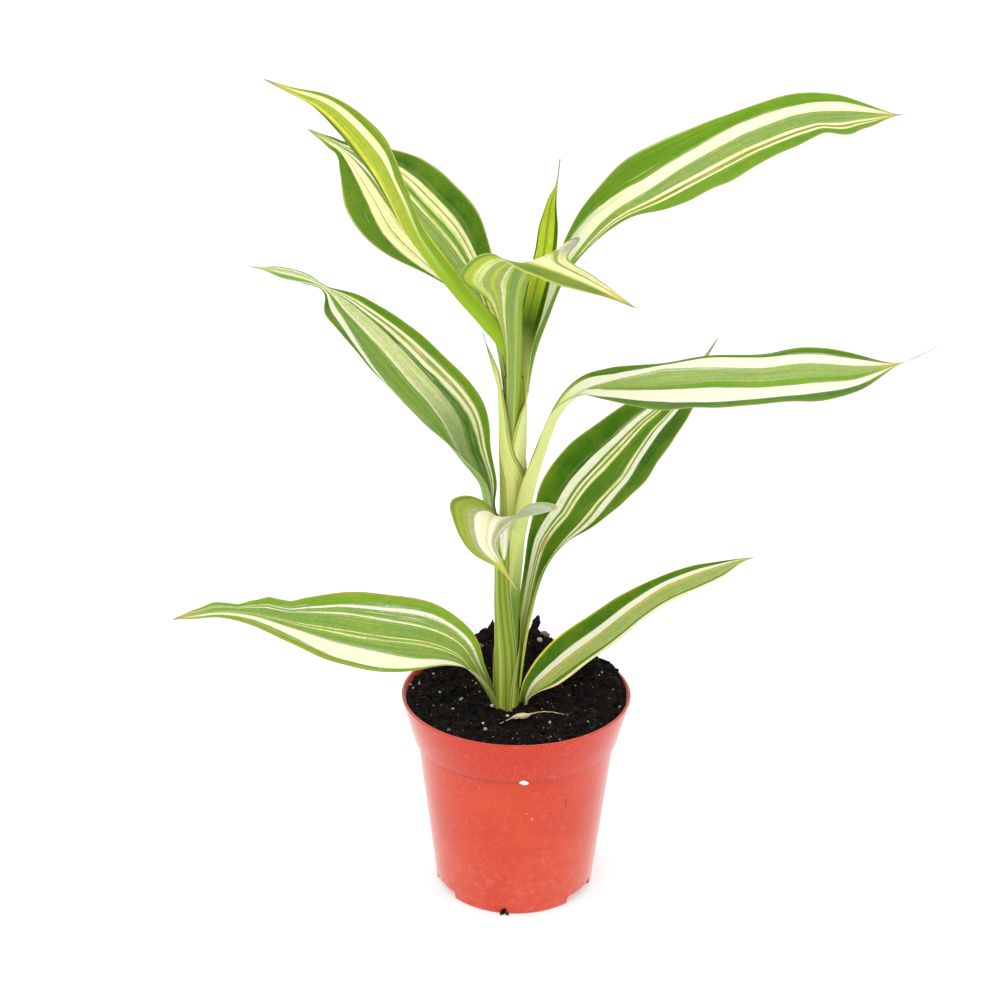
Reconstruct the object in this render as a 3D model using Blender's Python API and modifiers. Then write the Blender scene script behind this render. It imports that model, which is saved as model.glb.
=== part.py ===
"""A variegated ribbon plant (sold as lucky bamboo) in a small nursery pot.

Metres, +Z up. The origin is on the pot's axis, at the flat underside of its floor.
-Y is the side that the plant is looked at from. Lengths below are in millimetres,
and every point goes through mm() on its way into the model.
"""

import math

import bmesh
import bpy
import numpy as np

# Pot
POT_HEIGHT = 82.0
RIM_RADIUS = 45.0
COLLAR_HEIGHT = 18.0
COLLAR_FOOT_RADIUS = 40.3
BODY_TOP_RADIUS = 39.1
BASE_RADIUS = 31.5
WALL = 1.0
FLOOR = 1.5
POCKET_HEIGHT = 3.3
POCKET_WIDTH = 17.0
POCKET_INNER = 24.0
POCKET_ANGLES = (-33.5, 86.5, 206.5)
DRAIN_HOLE = 5.0

# Soil
SOIL_LEVEL = 79.8
GAP = 0.3

# Plant
LEAF_THICKNESS = 0.7
FOOT_WIDTH = 2.2
STEM = [  # x, y, z, radius of the cane with the leaf sheaths wrapped around it
    (-4.0, -11.0, 52, 4.2),
    (-4.0, -11.0, 66, 4.7),
    (-4.0, -11.0, 80, 4.8),
    (-4.0, -11.0, 94, 4.7),
    (-4.0, -11.0, 110, 4.8),
    (-4.0, -11.0, 126, 4.6),
    (-3.5, -11.0, 140, 4.8),
    (-3.0, -11.0, 154, 4.6),
    (-2.7, -11.0, 168, 4.9),
    (-2.5, -11.0, 182, 4.8),
    (-2.3, -11.0, 194, 4.6),
    (-2.2, -11.0, 203, 3.8),
    (-2.1, -10.8, 209, 2.6),
    (-2.0, -10.6, 213, 1.6),
]


def mm(*values):
    """Millimetres to metres."""
    return tuple(v / 1000.0 for v in values)


def clear_scene():
    for thing in list(bpy.data.objects):
        bpy.data.objects.remove(thing, do_unlink=True)


def new_collection(name):
    made = bpy.data.collections.new(name)
    bpy.context.scene.collection.children.link(made)
    return made


clear_scene()
PLANT = new_collection("potted_lucky_bamboo")
CUTTERS = new_collection("cutters")


def material(name, colour, roughness):
    made = bpy.data.materials.new(name)
    made.use_nodes = True
    shader = made.node_tree.nodes["Principled BSDF"]
    shader.inputs["Base Color"].default_value = (*colour, 1.0)
    shader.inputs["Roughness"].default_value = roughness
    shader.inputs["Metallic"].default_value = 0.0
    return made


POT_RED = material("pot_plastic", (0.78, 0.09, 0.04), 0.42)
PEAT = material("peat", (0.018, 0.013, 0.010), 0.95)
BARK = material("bark", (0.11, 0.055, 0.03), 0.9)
STRAW = material("straw", (0.55, 0.38, 0.22), 0.8)
SHEATH_GREEN = material("sheath_green", (0.36, 0.50, 0.10), 0.45)
LEAF_GREEN = material("leaf_green", (0.16, 0.34, 0.05), 0.4)
LEAF_YOUNG = material("leaf_young", (0.40, 0.52, 0.06), 0.4)


def put(name, data, look, home=None):
    """A new object for the mesh or curve, in its collection, with its material."""
    made = bpy.data.objects.new(name, data)
    (home or PLANT).objects.link(made)
    if look is not None:
        data.materials.append(look)
    if home is CUTTERS:
        made.hide_render = True
        made.display_type = "WIRE"
    return made


def rehome(thing, home):
    """Moves an object that an operator made into its own collection."""
    for old in list(thing.users_collection):
        old.objects.unlink(thing)
    home.objects.link(thing)
    if home is CUTTERS:
        thing.hide_render = True
        thing.display_type = "WIRE"


def realised(thing, look, home=None):
    """The object as its modifiers leave it, as a plain welded mesh under the same name."""
    graph = bpy.context.evaluated_depsgraph_get()
    mesh = bpy.data.meshes.new_from_object(thing.evaluated_get(graph))
    name, place = thing.name, thing.matrix_world.copy()
    bpy.data.objects.remove(thing, do_unlink=True)
    loose = bmesh.new()
    loose.from_mesh(mesh)
    bmesh.ops.remove_doubles(loose, verts=loose.verts, dist=1e-6)
    loose.to_mesh(mesh)
    loose.free()
    mesh.materials.clear()
    made = put(name, mesh, look, home)
    made.matrix_world = place
    return made


def turned(name, profile, steps, look):
    """A body turned about Z from (radius, height) points that run down its outer side."""
    mesh = bpy.data.meshes.new(name)
    points = [mm(r, 0.0, z) for r, z in profile]
    mesh.from_pydata(points, [(i, i + 1) for i in range(len(points) - 1)], [])
    body = put(name, mesh, None)
    spin = body.modifiers.new("spin", "SCREW")
    spin.steps = spin.render_steps = steps
    spin.use_merge_vertices = True
    spin.merge_threshold = 1e-5
    return realised(body, look)


def cut(body, tool, operation="DIFFERENCE"):
    step = body.modifiers.new(tool.name, "BOOLEAN")
    step.operation = operation
    step.object = tool
    step.solver = "EXACT"


def box_cutter(name, low, high, angle):
    """A block between two corners, turned about Z by angle degrees."""
    bpy.ops.mesh.primitive_cube_add(size=1.0)
    block = bpy.context.object
    rehome(block, CUTTERS)
    block.name = name
    turn = math.radians(angle)
    middle = [(a + b) / 2 for a, b in zip(low, high)]
    block.scale = mm(*[b - a for a, b in zip(low, high)])
    block.location = mm(
        middle[0] * math.cos(turn) - middle[1] * math.sin(turn),
        middle[0] * math.sin(turn) + middle[1] * math.cos(turn),
        middle[2],
    )
    block.rotation_euler = (0.0, 0.0, turn)
    return block


def round_cutter(name, radius_low, radius_high, low, high, x=0.0, y=0.0, sides=48):
    bpy.ops.mesh.primitive_cone_add(
        vertices=sides,
        radius1=radius_low / 1000,
        radius2=radius_high / 1000,
        depth=(high - low) / 1000,
        location=mm(x, y, (low + high) / 2),
    )
    tool = bpy.context.object
    rehome(tool, CUTTERS)
    tool.name = name
    return tool


def wall_radius(z):
    """Outer radius of the pot at a height."""
    shoulder = POT_HEIGHT - COLLAR_HEIGHT
    if z > shoulder:
        return COLLAR_FOOT_RADIUS + (RIM_RADIUS - COLLAR_FOOT_RADIUS) * (z - shoulder) / COLLAR_HEIGHT
    return BASE_RADIUS + (BODY_TOP_RADIUS - BASE_RADIUS) * z / shoulder


def make_pot():
    """Thin moulded pot: tapered body, wider collar, and three drain pockets that leave three feet."""
    shoulder = POT_HEIGHT - COLLAR_HEIGHT
    profile = [
        (0.0, FLOOR),
        (wall_radius(FLOOR) - WALL, FLOOR),
        (wall_radius(shoulder - 1) - WALL, shoulder - 1.0),
        (wall_radius(shoulder + 0.3) - WALL, shoulder + 0.3),
        (RIM_RADIUS - WALL - 0.2, POT_HEIGHT - 0.6),
        (RIM_RADIUS - 0.8, POT_HEIGHT),
        (RIM_RADIUS - 0.25, POT_HEIGHT),
        (RIM_RADIUS, POT_HEIGHT - 0.35),
        (COLLAR_FOOT_RADIUS, shoulder),
        (BODY_TOP_RADIUS, shoulder - 0.2),
        (wall_radius(1.0) + 0.05, 1.2),
        (BASE_RADIUS - 0.5, 0.3),
        (BASE_RADIUS - 0.9, 0.0),
        (0.0, 0.0),
    ]
    pot = turned("pot", profile, 72, POT_RED)
    roof = POCKET_HEIGHT + 1.1
    for i, angle in enumerate(POCKET_ANGLES):
        shell = round_cutter(
            f"pocket_shell_{i}",
            wall_radius(0.5) - 0.4,
            wall_radius(roof) - 0.4,
            0.5,
            roof,
            sides=72,
        )
        half = POCKET_WIDTH / 2 + 1.1
        wedge = box_cutter(f"pocket_wedge_{i}", (POCKET_INNER - 1.1, -half, -1), (40, half, 9), angle)
        cut(shell, wedge, "INTERSECT")
        cut(pot, shell, "UNION")
    for i, angle in enumerate(POCKET_ANGLES):
        half = POCKET_WIDTH / 2
        cut(pot, box_cutter(f"pocket_{i}", (POCKET_INNER, -half, -2), (40, half, POCKET_HEIGHT), angle))
        turn = math.radians(angle)
        middle = (POCKET_INNER + wall_radius(POCKET_HEIGHT) - WALL) / 2
        hole = DRAIN_HOLE / 2
        x, y = middle * math.cos(turn), middle * math.sin(turn)
        cut(pot, round_cutter(f"drain_{i}", hole, hole, POCKET_HEIGHT - 1, roof + 1, x, y, 16))
    pot.data.shade_smooth()
    pot.data.set_sharp_from_angle(angle=math.radians(35))
    return pot


def step_up(value, low, high):
    t = min(max((value - low) / (high - low), 0.0), 1.0)
    return t * t * (3 - 2 * t)


def bump(x, y, middle, spread):
    """A rounded heap of height 1."""
    return math.exp(-(((x - middle[0]) / spread[0]) ** 2 + ((y - middle[1]) / spread[1]) ** 2) / 2)


def soil_height(x, y):
    """Top of the peat: near level in front, heaped up behind the stem and over the rim at the right."""
    r = math.hypot(x, y)
    heap = 3.0 * step_up(y, -6, 26) + 9.5 * bump(x, y, (-1, 27), (17, 9))
    heap += 0.5 * math.sin(0.45 * x + 1.3) * math.sin(0.38 * y + 0.4) + 0.25 * math.sin(1.1 * x - 0.6 * y)
    heap *= 1.0 - step_up(r, 35.0, 43.0)
    return SOIL_LEVEL + heap + 4.6 * bump(x, y, (38, 19), (9, 11))


def make_soil():
    """The root ball of peat, with its heaped top and the hollow that the stem stands in."""
    shoulder = POT_HEIGHT - COLLAR_HEIGHT
    slack = WALL + GAP + 0.1
    edge = wall_radius(SOIL_LEVEL) - slack - 0.2
    rings = [edge * i / 13 for i in range(14)]
    profile = [(r, SOIL_LEVEL) for r in rings]
    profile += [
        (wall_radius(shoulder + 1) - slack, shoulder + 1.0),
        (wall_radius(shoulder - 1) - slack, shoulder - 0.8),
        (wall_radius(FLOOR + GAP) - slack, FLOOR + GAP),
        (0.0, FLOOR + GAP),
    ]
    soil = turned("soil", profile, 44, PEAT)
    for vertex in soil.data.vertices:
        x, y, z = (1000 * c for c in vertex.co)
        if z > SOIL_LEVEL - 0.1:
            vertex.co.z = soil_height(x, y) / 1000
    x, y = STEM[0][:2]
    socket = 4.8 + GAP + 0.2
    cut(soil, round_cutter("stem_socket", socket, socket, STEM[0][2] - GAP, 99, x, y, 24))
    half = POCKET_WIDTH / 2 + 1.1 + GAP
    roof = POCKET_HEIGHT + 1.1 + GAP
    for i, angle in enumerate(POCKET_ANGLES):
        cut(soil, box_cutter(f"soil_pocket_{i}", (POCKET_INNER - 1.5, -half, -2), (60, half, roof), angle))
    return soil


def make_chip(name, place, lean, spin, size, soil):
    """A flake of bark that stands in the peat, and the matching hollow around its foot."""
    width, depth, height = size
    for suffix, grow in (("", 0.0), ("_hollow", GAP + 0.1)):
        bpy.ops.mesh.primitive_cone_add(vertices=6, radius1=0.5, radius2=0.16, depth=1.0)
        chip = bpy.context.object
        rehome(chip, CUTTERS if suffix else PLANT)
        chip.name = name + suffix
        chip.location = mm(*place)
        chip.rotation_euler = (math.radians(lean[0]), math.radians(lean[1]), math.radians(spin))
        chip.scale = mm(width + 2 * grow, depth + 2 * grow, height + 2 * grow)
        if suffix:
            cut(soil, chip)
        else:
            chip.data.materials.append(BARK)


def tube(name, points, look, rounds=3):
    """A tube through (x, y, z, radius) points."""
    curve = bpy.data.curves.new(name, "CURVE")
    curve.dimensions = "3D"
    curve.bevel_depth = 0.001
    curve.bevel_resolution = rounds
    curve.use_fill_caps = True
    line = curve.splines.new("POLY")
    line.points.add(len(points) - 1)
    for point, (x, y, z, radius) in zip(line.points, points):
        point.co = (*mm(x, y, z), 1.0)
        point.radius = radius
    return put(name, curve, look)


def smooth(values, t):
    """Catmull-Rom curve through evenly spaced knots."""
    v = np.asarray(values, float)
    v = v.reshape(len(v), -1)
    ends = np.vstack([2 * v[0] - v[1], v, 2 * v[-1] - v[-2]])
    i = np.clip(np.floor(t).astype(int), 0, len(v) - 2)
    f = (t - i)[:, None]
    a, b, c, d = ends[i], ends[i + 1], ends[i + 2], ends[i + 3]
    out = b + 0.5 * f * ((c - a) + f * ((2 * a - 5 * b + 4 * c - d) + f * (3 * b - a - 3 * c + d)))
    return out


def unit(v):
    return v / np.linalg.norm(v, axis=-1, keepdims=True)


def skin_point(angle, z, extra=0.0):
    """Centre of a leaf foot that lies on the sheathed cane at a height, seen from above at an angle."""
    heights = [p[2] for p in STEM]
    x, y, r = (float(np.interp(z, heights, [p[k] for p in STEM])) for k in (0, 1, 3))
    out = r + GAP + LEAF_THICKNESS / 2 + 0.15 + extra
    turn = math.radians(angle)
    return (x + out * math.cos(turn), y + out * math.sin(turn), z)


def leaf_surface(spec, rows, columns):
    """Points of a leaf: rows run from foot to tip, columns from its left margin to its right one.

    At each knot: the midrib's place, the half widths on either side, the roll of the
    blade about its midrib, and the fold by which both halves rise from it. The halves
    curve like a gutter, a third of the fold at the midrib and the rest towards the margin.
    """
    middle = [spec["foot"]] + spec["midrib"] if "foot" in spec else spec["midrib"]
    t = np.linspace(0, len(middle) - 1, rows)
    place = smooth(middle, t)
    along = unit(np.gradient(place, axis=0))
    out = math.radians(spec["out"])
    level = np.array([math.sin(out), -math.cos(out), 0.0])
    across = unit(level - (along @ level)[:, None] * along)
    up = np.cross(across, along)
    roll = np.radians(smooth(spec["roll"], t))
    across, up = across * np.cos(roll) + up * np.sin(roll), up * np.cos(roll) - across * np.sin(roll)
    fold = np.maximum(np.radians(smooth(spec["fold"], t)), 1e-3)
    start, grow = 0.35 * fold, 1.3 * fold
    grid = []
    for j in range(columns):
        share = 2 * j / (columns - 1) - 1
        side = -1 if share < 0 else 1
        s = abs(share)
        half = np.maximum(smooth(spec["right" if side > 0 else "left"], t), 0.22)
        flat = half * (np.sin(start + grow * s) - np.sin(start)) / grow
        lift = half * (np.cos(start) - np.cos(start + grow * s)) / grow
        grid.append(place + side * flat * across + lift * up)
    return np.stack(grid, axis=1)


def make_leaf(name, spec, look, rows=30, columns=7):
    """A leaf as a lofted sheet with an even thickness."""
    points = leaf_surface(spec, rows, columns)
    mesh = bpy.data.meshes.new(name)
    faces = [
        (i * columns + j, i * columns + j + 1, (i + 1) * columns + j + 1, (i + 1) * columns + j)
        for i in range(rows - 1)
        for j in range(columns - 1)
    ]
    mesh.from_pydata([mm(*p) for p in points.reshape(-1, 3)], [], faces)
    leaf = put(name, mesh, look)
    shell = leaf.modifiers.new("thickness", "SOLIDIFY")
    shell.thickness = LEAF_THICKNESS / 1000
    shell.offset = 0.0
    mesh.shade_smooth()
    return leaf


def leaves():
    """Every leaf of the plant, lowest first. Angles are seen from above: 0 is +X, 90 is +Y."""
    return {
        "leaf_lower_left": dict(
            out=178, foot=skin_point(186, 80.9),
            midrib=[(-12, -13, 89), (-16.5, -14, 97), (-23.5, -14, 105), (-35, -13, 109),
                    (-50, -12, 110.5), (-67.5, -11, 113), (-84.5, -10, 115.5), (-100, -9, 118.5),
                    (-112.5, -8, 119), (-123, -7, 117), (-132, -6, 114.5)],
            left=[2.2, 3, 5.5, 11, 15.5, 17, 15.5, 10, 5.7, 3.2, 2.3, 0.3],
            right=[2.2, 3, 5.5, 11, 15.5, 17, 15.5, 10, 5.7, 3.2, 2.3, 0.3],
            roll=[-8, 10, 20, 30, 36, 36, 36, 36, 36, 36, 30, 20],
            fold=[15, 50, 50, 30, 18, 12, 10, 10, 10, 10, 10, 0]),
        "leaf_lower_right": dict(
            out=20, foot=skin_point(12, 80.9),
            midrib=[(4.5, -8.5, 84), (7.5, -5, 88), (13.5, 0, 91.5), (22, 5, 97), (34, 12, 103.5),
                    (45.5, 17, 111), (57.5, 22, 117.5), (70, 26, 121.5), (81, 29, 124),
                    (90, 31, 125.5), (95, 32, 126)],
            left=[2.2, 3, 5, 7.5, 8.5, 8, 7, 6, 4.5, 3, 1, 0.3],
            right=[2.2, 3, 5.5, 8.5, 11, 12.5, 12, 11, 9, 6, 2, 0.3],
            roll=[8, -5, -15, -22, -25, -25, -25, -25, -25, -25, -10, 0],
            fold=[15, 50, 45, 28, 18, 12, 10, 8, 8, 8, 8, 0]),
        "leaf_middle_right_rear": dict(
            out=45, foot=skin_point(22, 96),
            midrib=[(5, -6, 118), (8, -3, 132), (12.5, 3, 142), (20, 10, 151.5), (26.5, 17, 159),
                    (34.5, 24, 165.5), (42.5, 31, 172), (50.5, 37, 179), (58, 42, 184.5),
                    (64.5, 46, 190.5), (70.5, 49, 197.5), (74.5, 52, 204), (79, 55, 210.5)],
            left=[2.2, 3.5, 7, 10, 15.5, 17.5, 18, 16, 13.5, 10.5, 7, 3, 1, 0.3],
            right=[2.2, 3.5, 6, 10.5, 16, 18, 18.5, 16, 14.5, 11, 8, 4, 1, 0.3],
            roll=[23, 0, -5, -10, -15, -18, -18, -18, -18, -18, -18, -15, 0, 0],
            fold=[15, 60, 55, 40, 26, 18, 16, 14, 12, 10, 10, 10, 5, 0]),
        "leaf_small_front": dict(
            out=-95, foot=skin_point(-102, 138, 0.2),
            midrib=[(-5, -18.4, 153), (-5, -26, 164), (-7, -40, 171), (-9, -52, 173), (-10, -60, 169),
                    (-7, -66, 164.5), (-3, -69, 161), (0, -71, 157)],
            left=[2.2, 3.5, 10, 17, 16, 10.5, 5, 2, 0.3],
            right=[2.2, 3.5, 10, 19, 17, 5, 2.5, 1.5, 0.3],
            roll=[7, 0, 0, 0, 0, 0, 0, 0, 0],
            fold=[15, 28, 38, 25, 20, 20, 20, 20, 0]),
        "leaf_middle_left": dict(
            out=160, foot=skin_point(192, 150),
            midrib=[(-12, -13, 163), (-14.5, -12, 173), (-20, -9, 183), (-27, -4, 195.5),
                    (-40.5, 3, 209.5), (-53, 10, 221), (-64.5, 16, 230.5), (-72, 20, 237.5),
                    (-81, 23, 241.5), (-90, 26, 243), (-96, 28, 243.5), (-101.5, 29, 244)],
            left=[2.2, 3.2, 6, 11, 16, 17, 16, 12, 1.5, 2.5, 3.5, 1, 0.3],
            right=[2.2, 3.2, 6, 11, 16, 16, 14, 10, 1.5, 3, 4, 1, 0.3],
            roll=[-32, -10, 10, 18, 22, 20, 20, 20, 60, 110, 130, 130, 130],
            fold=[15, 45, 55, 38, 24, 18, 15, 12, 10, 10, 10, 10, 0]),
        "leaf_middle_right": dict(
            out=-8, foot=skin_point(-30, 155),
            midrib=[(5, -15, 172), (8, -16, 187), (12, -18, 202), (20, -21, 211), (31.5, -25, 213.5),
                    (49, -28, 214), (66.5, -31, 216.5), (85, -33, 218.5), (101, -34, 220.5),
                    (116, -35, 223), (129.5, -36, 227), (136.5, -36, 230), (143, -36, 233.5)],
            left=[2.2, 3.2, 3.5, 4, 6, 10, 15, 17, 16.5, 17.5, 10.5, 1, 0.5, 0.3],
            right=[2.2, 3.2, 3.5, 4, 9, 15, 17, 17, 15.5, 16.5, 13, 1, 0.5, 0.3],
            roll=[22, 10, -5, -10, -15, -16, -16, -16, -16, -16, -16, -10, 0, 0],
            fold=[15, 60, 65, 60, 32, 16, 10, 10, 8, 8, 8, 5, 0, 0]),
        "sheath_tip": dict(
            out=200, foot=skin_point(196, 178),
            midrib=[(-7.9, -12.8, 190), (-8.4, -13.2, 202), (-9.6, -13.8, 212), (-11.4, -14.4, 222),
                    (-13.7, -15, 231)],
            left=[1.4, 1.8, 1.8, 1.6, 1.1, 0.3],
            right=[1.4, 1.8, 1.8, 1.6, 1.1, 0.3],
            roll=[4, 0, 0, 0, 0, 0],
            fold=[10, 12, 20, 25, 25, 0]),
        "leaf_top_left": dict(
            out=235, foot=skin_point(243, 196),
            midrib=[(-7.5, -16, 221), (-13.5, -20, 235), (-21.5, -25, 246), (-29, -31, 258),
                    (-36, -37, 271), (-41, -43, 284), (-47, -49, 298), (-55, -54, 309.5),
                    (-63, -58, 317.5), (-73, -61, 322), (-81, -63, 325.5)],
            left=[1.8, 3, 7, 9, 10, 9, 11, 9, 6, 3, 1, 0.3],
            right=[1.8, 3, 6, 7, 9, 10, 8, 8.5, 6.5, 4.5, 2, 0.3],
            roll=[-3, 0, -10, -20, -30, -40, -50, -50, -50, -50, -40, -30],
            fold=[15, 50, 75, 75, 75, 75, 65, 50, 40, 30, 20, 0]),
        "leaf_top_left_rear": dict(
            out=140, foot=skin_point(148, 196),
            midrib=[(-8, -5, 226), (-13.5, 0, 235), (-20.5, 7, 244.5), (-30, 16, 254),
                    (-40.5, 26, 262.5), (-51, 36, 272), (-62, 45, 281), (-68, 49, 285),
                    (-74, 52, 288), (-81, 55, 291)],
            left=[2.0, 3.5, 7, 14, 20, 21, 18, 8, 3, 3, 0.3],
            right=[2.0, 3.5, 7, 14, 20, 21, 18, 8, 3, 3, 0.3],
            roll=[-8, 5, 15, 25, 30, 35, 35, 45, 70, 120, 120],
            fold=[15, 60, 45, 35, 25, 20, 15, 12, 10, 10, 0]),
        "leaf_top_right": dict(
            out=25, foot=skin_point(18, 196),
            midrib=[(5, -5, 218), (10, 0, 234), (15.5, 6, 247), (24, 14, 258), (34, 22, 266.5),
                    (48.5, 31, 273), (67, 40, 281), (86, 48, 288.5), (105.5, 54, 295.5),
                    (123.5, 57, 296.5), (141, 58, 297.5), (147, 58, 297.5)],
            left=[2.0, 3.2, 4.5, 5, 8, 11, 16, 16, 14.5, 12.5, 10.5, 1, 0.3],
            right=[2.0, 3.2, 4.5, 5, 8, 11, 16, 16.5, 14.5, 12.5, 10.5, 1, 0.3],
            roll=[7, 0, -10, -20, -28, -30, -30, -30, -30, -30, -28, -20, 0],
            fold=[15, 60, 60, 50, 40, 28, 20, 15, 12, 12, 10, 5, 0]),
        "leaf_top_front": dict(
            out=-65, foot=skin_point(-72, 197),
            midrib=[(-1.5, -18, 227), (-3, -22.5, 243), (-3, -30, 255), (-1, -40, 262.5),
                    (7, -55, 264.5), (20, -70, 263), (29, -80, 261), (35, -84, 259)],
            left=[1.8, 3.2, 8, 16, 18, 9, 5, 2, 0.3],
            right=[1.8, 3.2, 7, 14, 18, 16, 10, 2, 0.3],
            roll=[7, 0, 0, 0, 0, 0, 0, 0, 0],
            fold=[15, 55, 40, 20, 15, 12, 12, 12, 0]),
        "leaf_young": dict(
            out=90,
            midrib=[(-2, -9.8, 213.7), (0, -9.6, 225), (4, -9, 239), (6.5, -8, 250), (8.5, -7, 260),
                    (9.5, -7, 269), (10.5, -8, 277), (12, -8, 283), (13, -9, 292)],
            left=[1.2, 2, 3.5, 6, 6, 5.5, 3, 0.5, 0.3],
            right=[1.2, 2, 3.5, 6, 6, 5, 2.5, 0.5, 0.3],
            roll=[0, 0, 0, 0, 0, 0, 0, 0, 0],
            fold=[40, 60, 65, 60, 50, 50, 50, 40, 0]),
    }


def make_plant():
    tube("stem", STEM, SHEATH_GREEN, rounds=4)
    for name, spec in leaves().items():
        rows = round(2.4 * len(spec["midrib"])) + 2
        look = LEAF_YOUNG if name in ("leaf_young", "leaf_top_left", "sheath_tip") else LEAF_GREEN
        make_leaf(name, spec, look, rows=rows)


def make_dry_stalk():
    """A withered stalk that lies on the peat in front of the stem."""
    route = [(-5.5, -25, 0.4), (-1, -22.5, 0.7), (4, -21, 1.1), (8, -20, 0.6), (13, -19, 0.5), (18.5, -19.5, 0.4)]
    points = []
    for x, y, radius in route:
        points.append((x, y, soil_height(x, y) + 1.5 + GAP, radius))
    tube("dry_stalk", points, STRAW, rounds=2)


make_pot()
peat = make_soil()
make_chip("bark_chip_left", (-13, 27, 93), (0, 14), 10, (15, 6, 15), peat)
make_chip("bark_chip_right", (7.5, 27, 95), (0, -4), -15, (9, 5, 16), peat)
make_plant()
make_dry_stalk()
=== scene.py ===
"""Looks of a variegated ribbon plant in a small nursery pot.

Lengths are in millimetres in the tables and in the shape functions, and put_mesh() turns
them into metres. Angles are in degrees, seen from above: 0 is +X, 90 is +Y, -90 is towards
the viewer. The plant is looked at from -Y.
"""

import math

import bmesh
import bpy
import numpy as np
from mathutils import Matrix, Vector


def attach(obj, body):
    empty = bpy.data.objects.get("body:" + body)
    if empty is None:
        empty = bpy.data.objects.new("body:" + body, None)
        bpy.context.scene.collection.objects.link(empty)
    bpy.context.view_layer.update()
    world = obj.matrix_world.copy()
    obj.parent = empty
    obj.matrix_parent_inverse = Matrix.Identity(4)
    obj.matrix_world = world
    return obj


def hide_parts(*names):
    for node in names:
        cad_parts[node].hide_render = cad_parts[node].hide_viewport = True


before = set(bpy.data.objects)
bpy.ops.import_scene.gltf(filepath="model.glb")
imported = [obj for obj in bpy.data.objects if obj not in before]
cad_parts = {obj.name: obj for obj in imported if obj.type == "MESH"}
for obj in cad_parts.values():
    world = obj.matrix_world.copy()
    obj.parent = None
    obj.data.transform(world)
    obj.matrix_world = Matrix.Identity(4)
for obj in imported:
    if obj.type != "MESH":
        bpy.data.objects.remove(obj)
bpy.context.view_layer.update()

MM = 0.001
POT_HEIGHT, RIM_RADIUS, WALL, POT_FLOOR = 82.0, 45.0, 1.0, 1.5
COLLAR_FOOT, COLLAR_FOOT_RADIUS, BODY_TOP_RADIUS, BASE_RADIUS = 64.0, 40.3, 39.1, 31.5
POCKET_ANGLES = (-33.5, 86.5, 206.5)
POCKET_WIDTH, POCKET_HEIGHT, POCKET_INNER = 17.0, 3.3, 24.0
HOLE_RADIUS, HOLE_FOOT, HOLE_TOP = 2.5, 2.3, 5.4
SOIL_LEVEL, SOIL_FOOT, SOIL_EDGE = 79.8, 4.6, 43.2
SOIL_INSET = 1.5  # from the outer face of the pot's wall to the peat
CRUMBS, SMALL_GRAINS, FIBRES = 2100, 170, 90
STEM_Y = -11.0
AXIS_HEIGHTS, AXIS_X = (60, 126, 160, 190, 300), (-4.0, -4.0, -2.8, -2.3, -2.3)
CREASE = 0.35  # share of a leaf's fold that is sharp at its midrib

# Colours, linear

COLOURS = {
    "g": (0.105, 0.225, 0.012),  # mid green
    "d": (0.032, 0.110, 0.003),  # dark green
    "l": (0.250, 0.360, 0.030),  # light green
    "t": (0.200, 0.290, 0.070),  # grey green
    "c": (0.880, 0.825, 0.420),  # cream
    "w": (0.940, 0.920, 0.740),  # white stripe
    "y": (0.480, 0.540, 0.040),  # yellow green
    "o": (0.150, 0.190, 0.020),  # olive
    "p": (0.700, 0.620, 0.320),  # pale margin
    "b": (0.520, 0.300, 0.080),  # brownish yellow
    "s": (0.740, 0.765, 0.250),  # pale yellow of a sheath
    "m": (0.260, 0.335, 0.034),  # stem green
    "n": (0.145, 0.220, 0.014),  # deeper stem green
    "k": (0.420, 0.480, 0.095),  # light stem green
    "e": (0.330, 0.340, 0.290),  # grey painted sheen, where a leaf is curled over
    "v": (0.300, 0.470, 0.016),  # vivid green of a leaf's foot
    "q": (0.330, 0.370, 0.130),  # pale olive
    "i": (0.560, 0.540, 0.330),  # beige
    "u": (0.130, 0.235, 0.032),  # bluish green
    "f": (0.062, 0.160, 0.008),  # green between dark and mid
    "a": (0.880, 0.845, 0.520),  # pale cream
    "h": (0.780, 0.810, 0.360),  # pale sheath
    "z": (0.440, 0.490, 0.185),  # dull pale green
    "x": (0.450, 0.500, 0.380),  # pale grey painted sheen on the back of a curled leaf
}

# Small tools


def smooth(values, t):
    """Catmull-Rom curve through evenly spaced knots."""
    v = np.asarray(values, float)
    v = v.reshape(len(v), -1)
    ends = np.vstack([2 * v[0] - v[1], v, 2 * v[-1] - v[-2]])
    i = np.clip(np.floor(t).astype(int), 0, len(v) - 2)
    f = (t - i)[:, None]
    a, b, c, d = ends[i], ends[i + 1], ends[i + 2], ends[i + 3]
    return b + 0.5 * f * ((c - a) + f * ((2 * a - 5 * b + 4 * c - d) + f * (3 * b - a - 3 * c + d)))


def unit(v):
    return v / np.maximum(np.linalg.norm(v, axis=-1, keepdims=True), 1e-9)


def ease(x, low, high):
    t = np.clip((np.asarray(x, float) - low) / (high - low), 0, 1)
    return t * t * (3 - 2 * t)


def put_object(name, data):
    made = bpy.data.objects.new(name, data)
    bpy.context.scene.collection.objects.link(made)
    return made


def put_mesh(name, points, faces, material, values=None, smooth_faces=True):
    """An object from points in millimetres, with named numbers stored at its points."""
    mesh = bpy.data.meshes.new(name)
    mesh.from_pydata((np.asarray(points, float) * MM).tolist(), [], [tuple(map(int, f)) for f in faces])
    for key, numbers in (values or {}).items():
        layer = mesh.attributes.new(key, "FLOAT", "POINT")
        layer.data.foreach_set("value", np.asarray(numbers, np.float32).ravel())
    if smooth_faces:
        mesh.shade_smooth()
    mesh.materials.append(material)
    return put_object(name, mesh)


def settle(piece, node=None):
    """The piece rides on the one body, and may stand for a CAD node, which it hides."""
    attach(piece, "root")
    if node:
        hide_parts(node)


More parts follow.
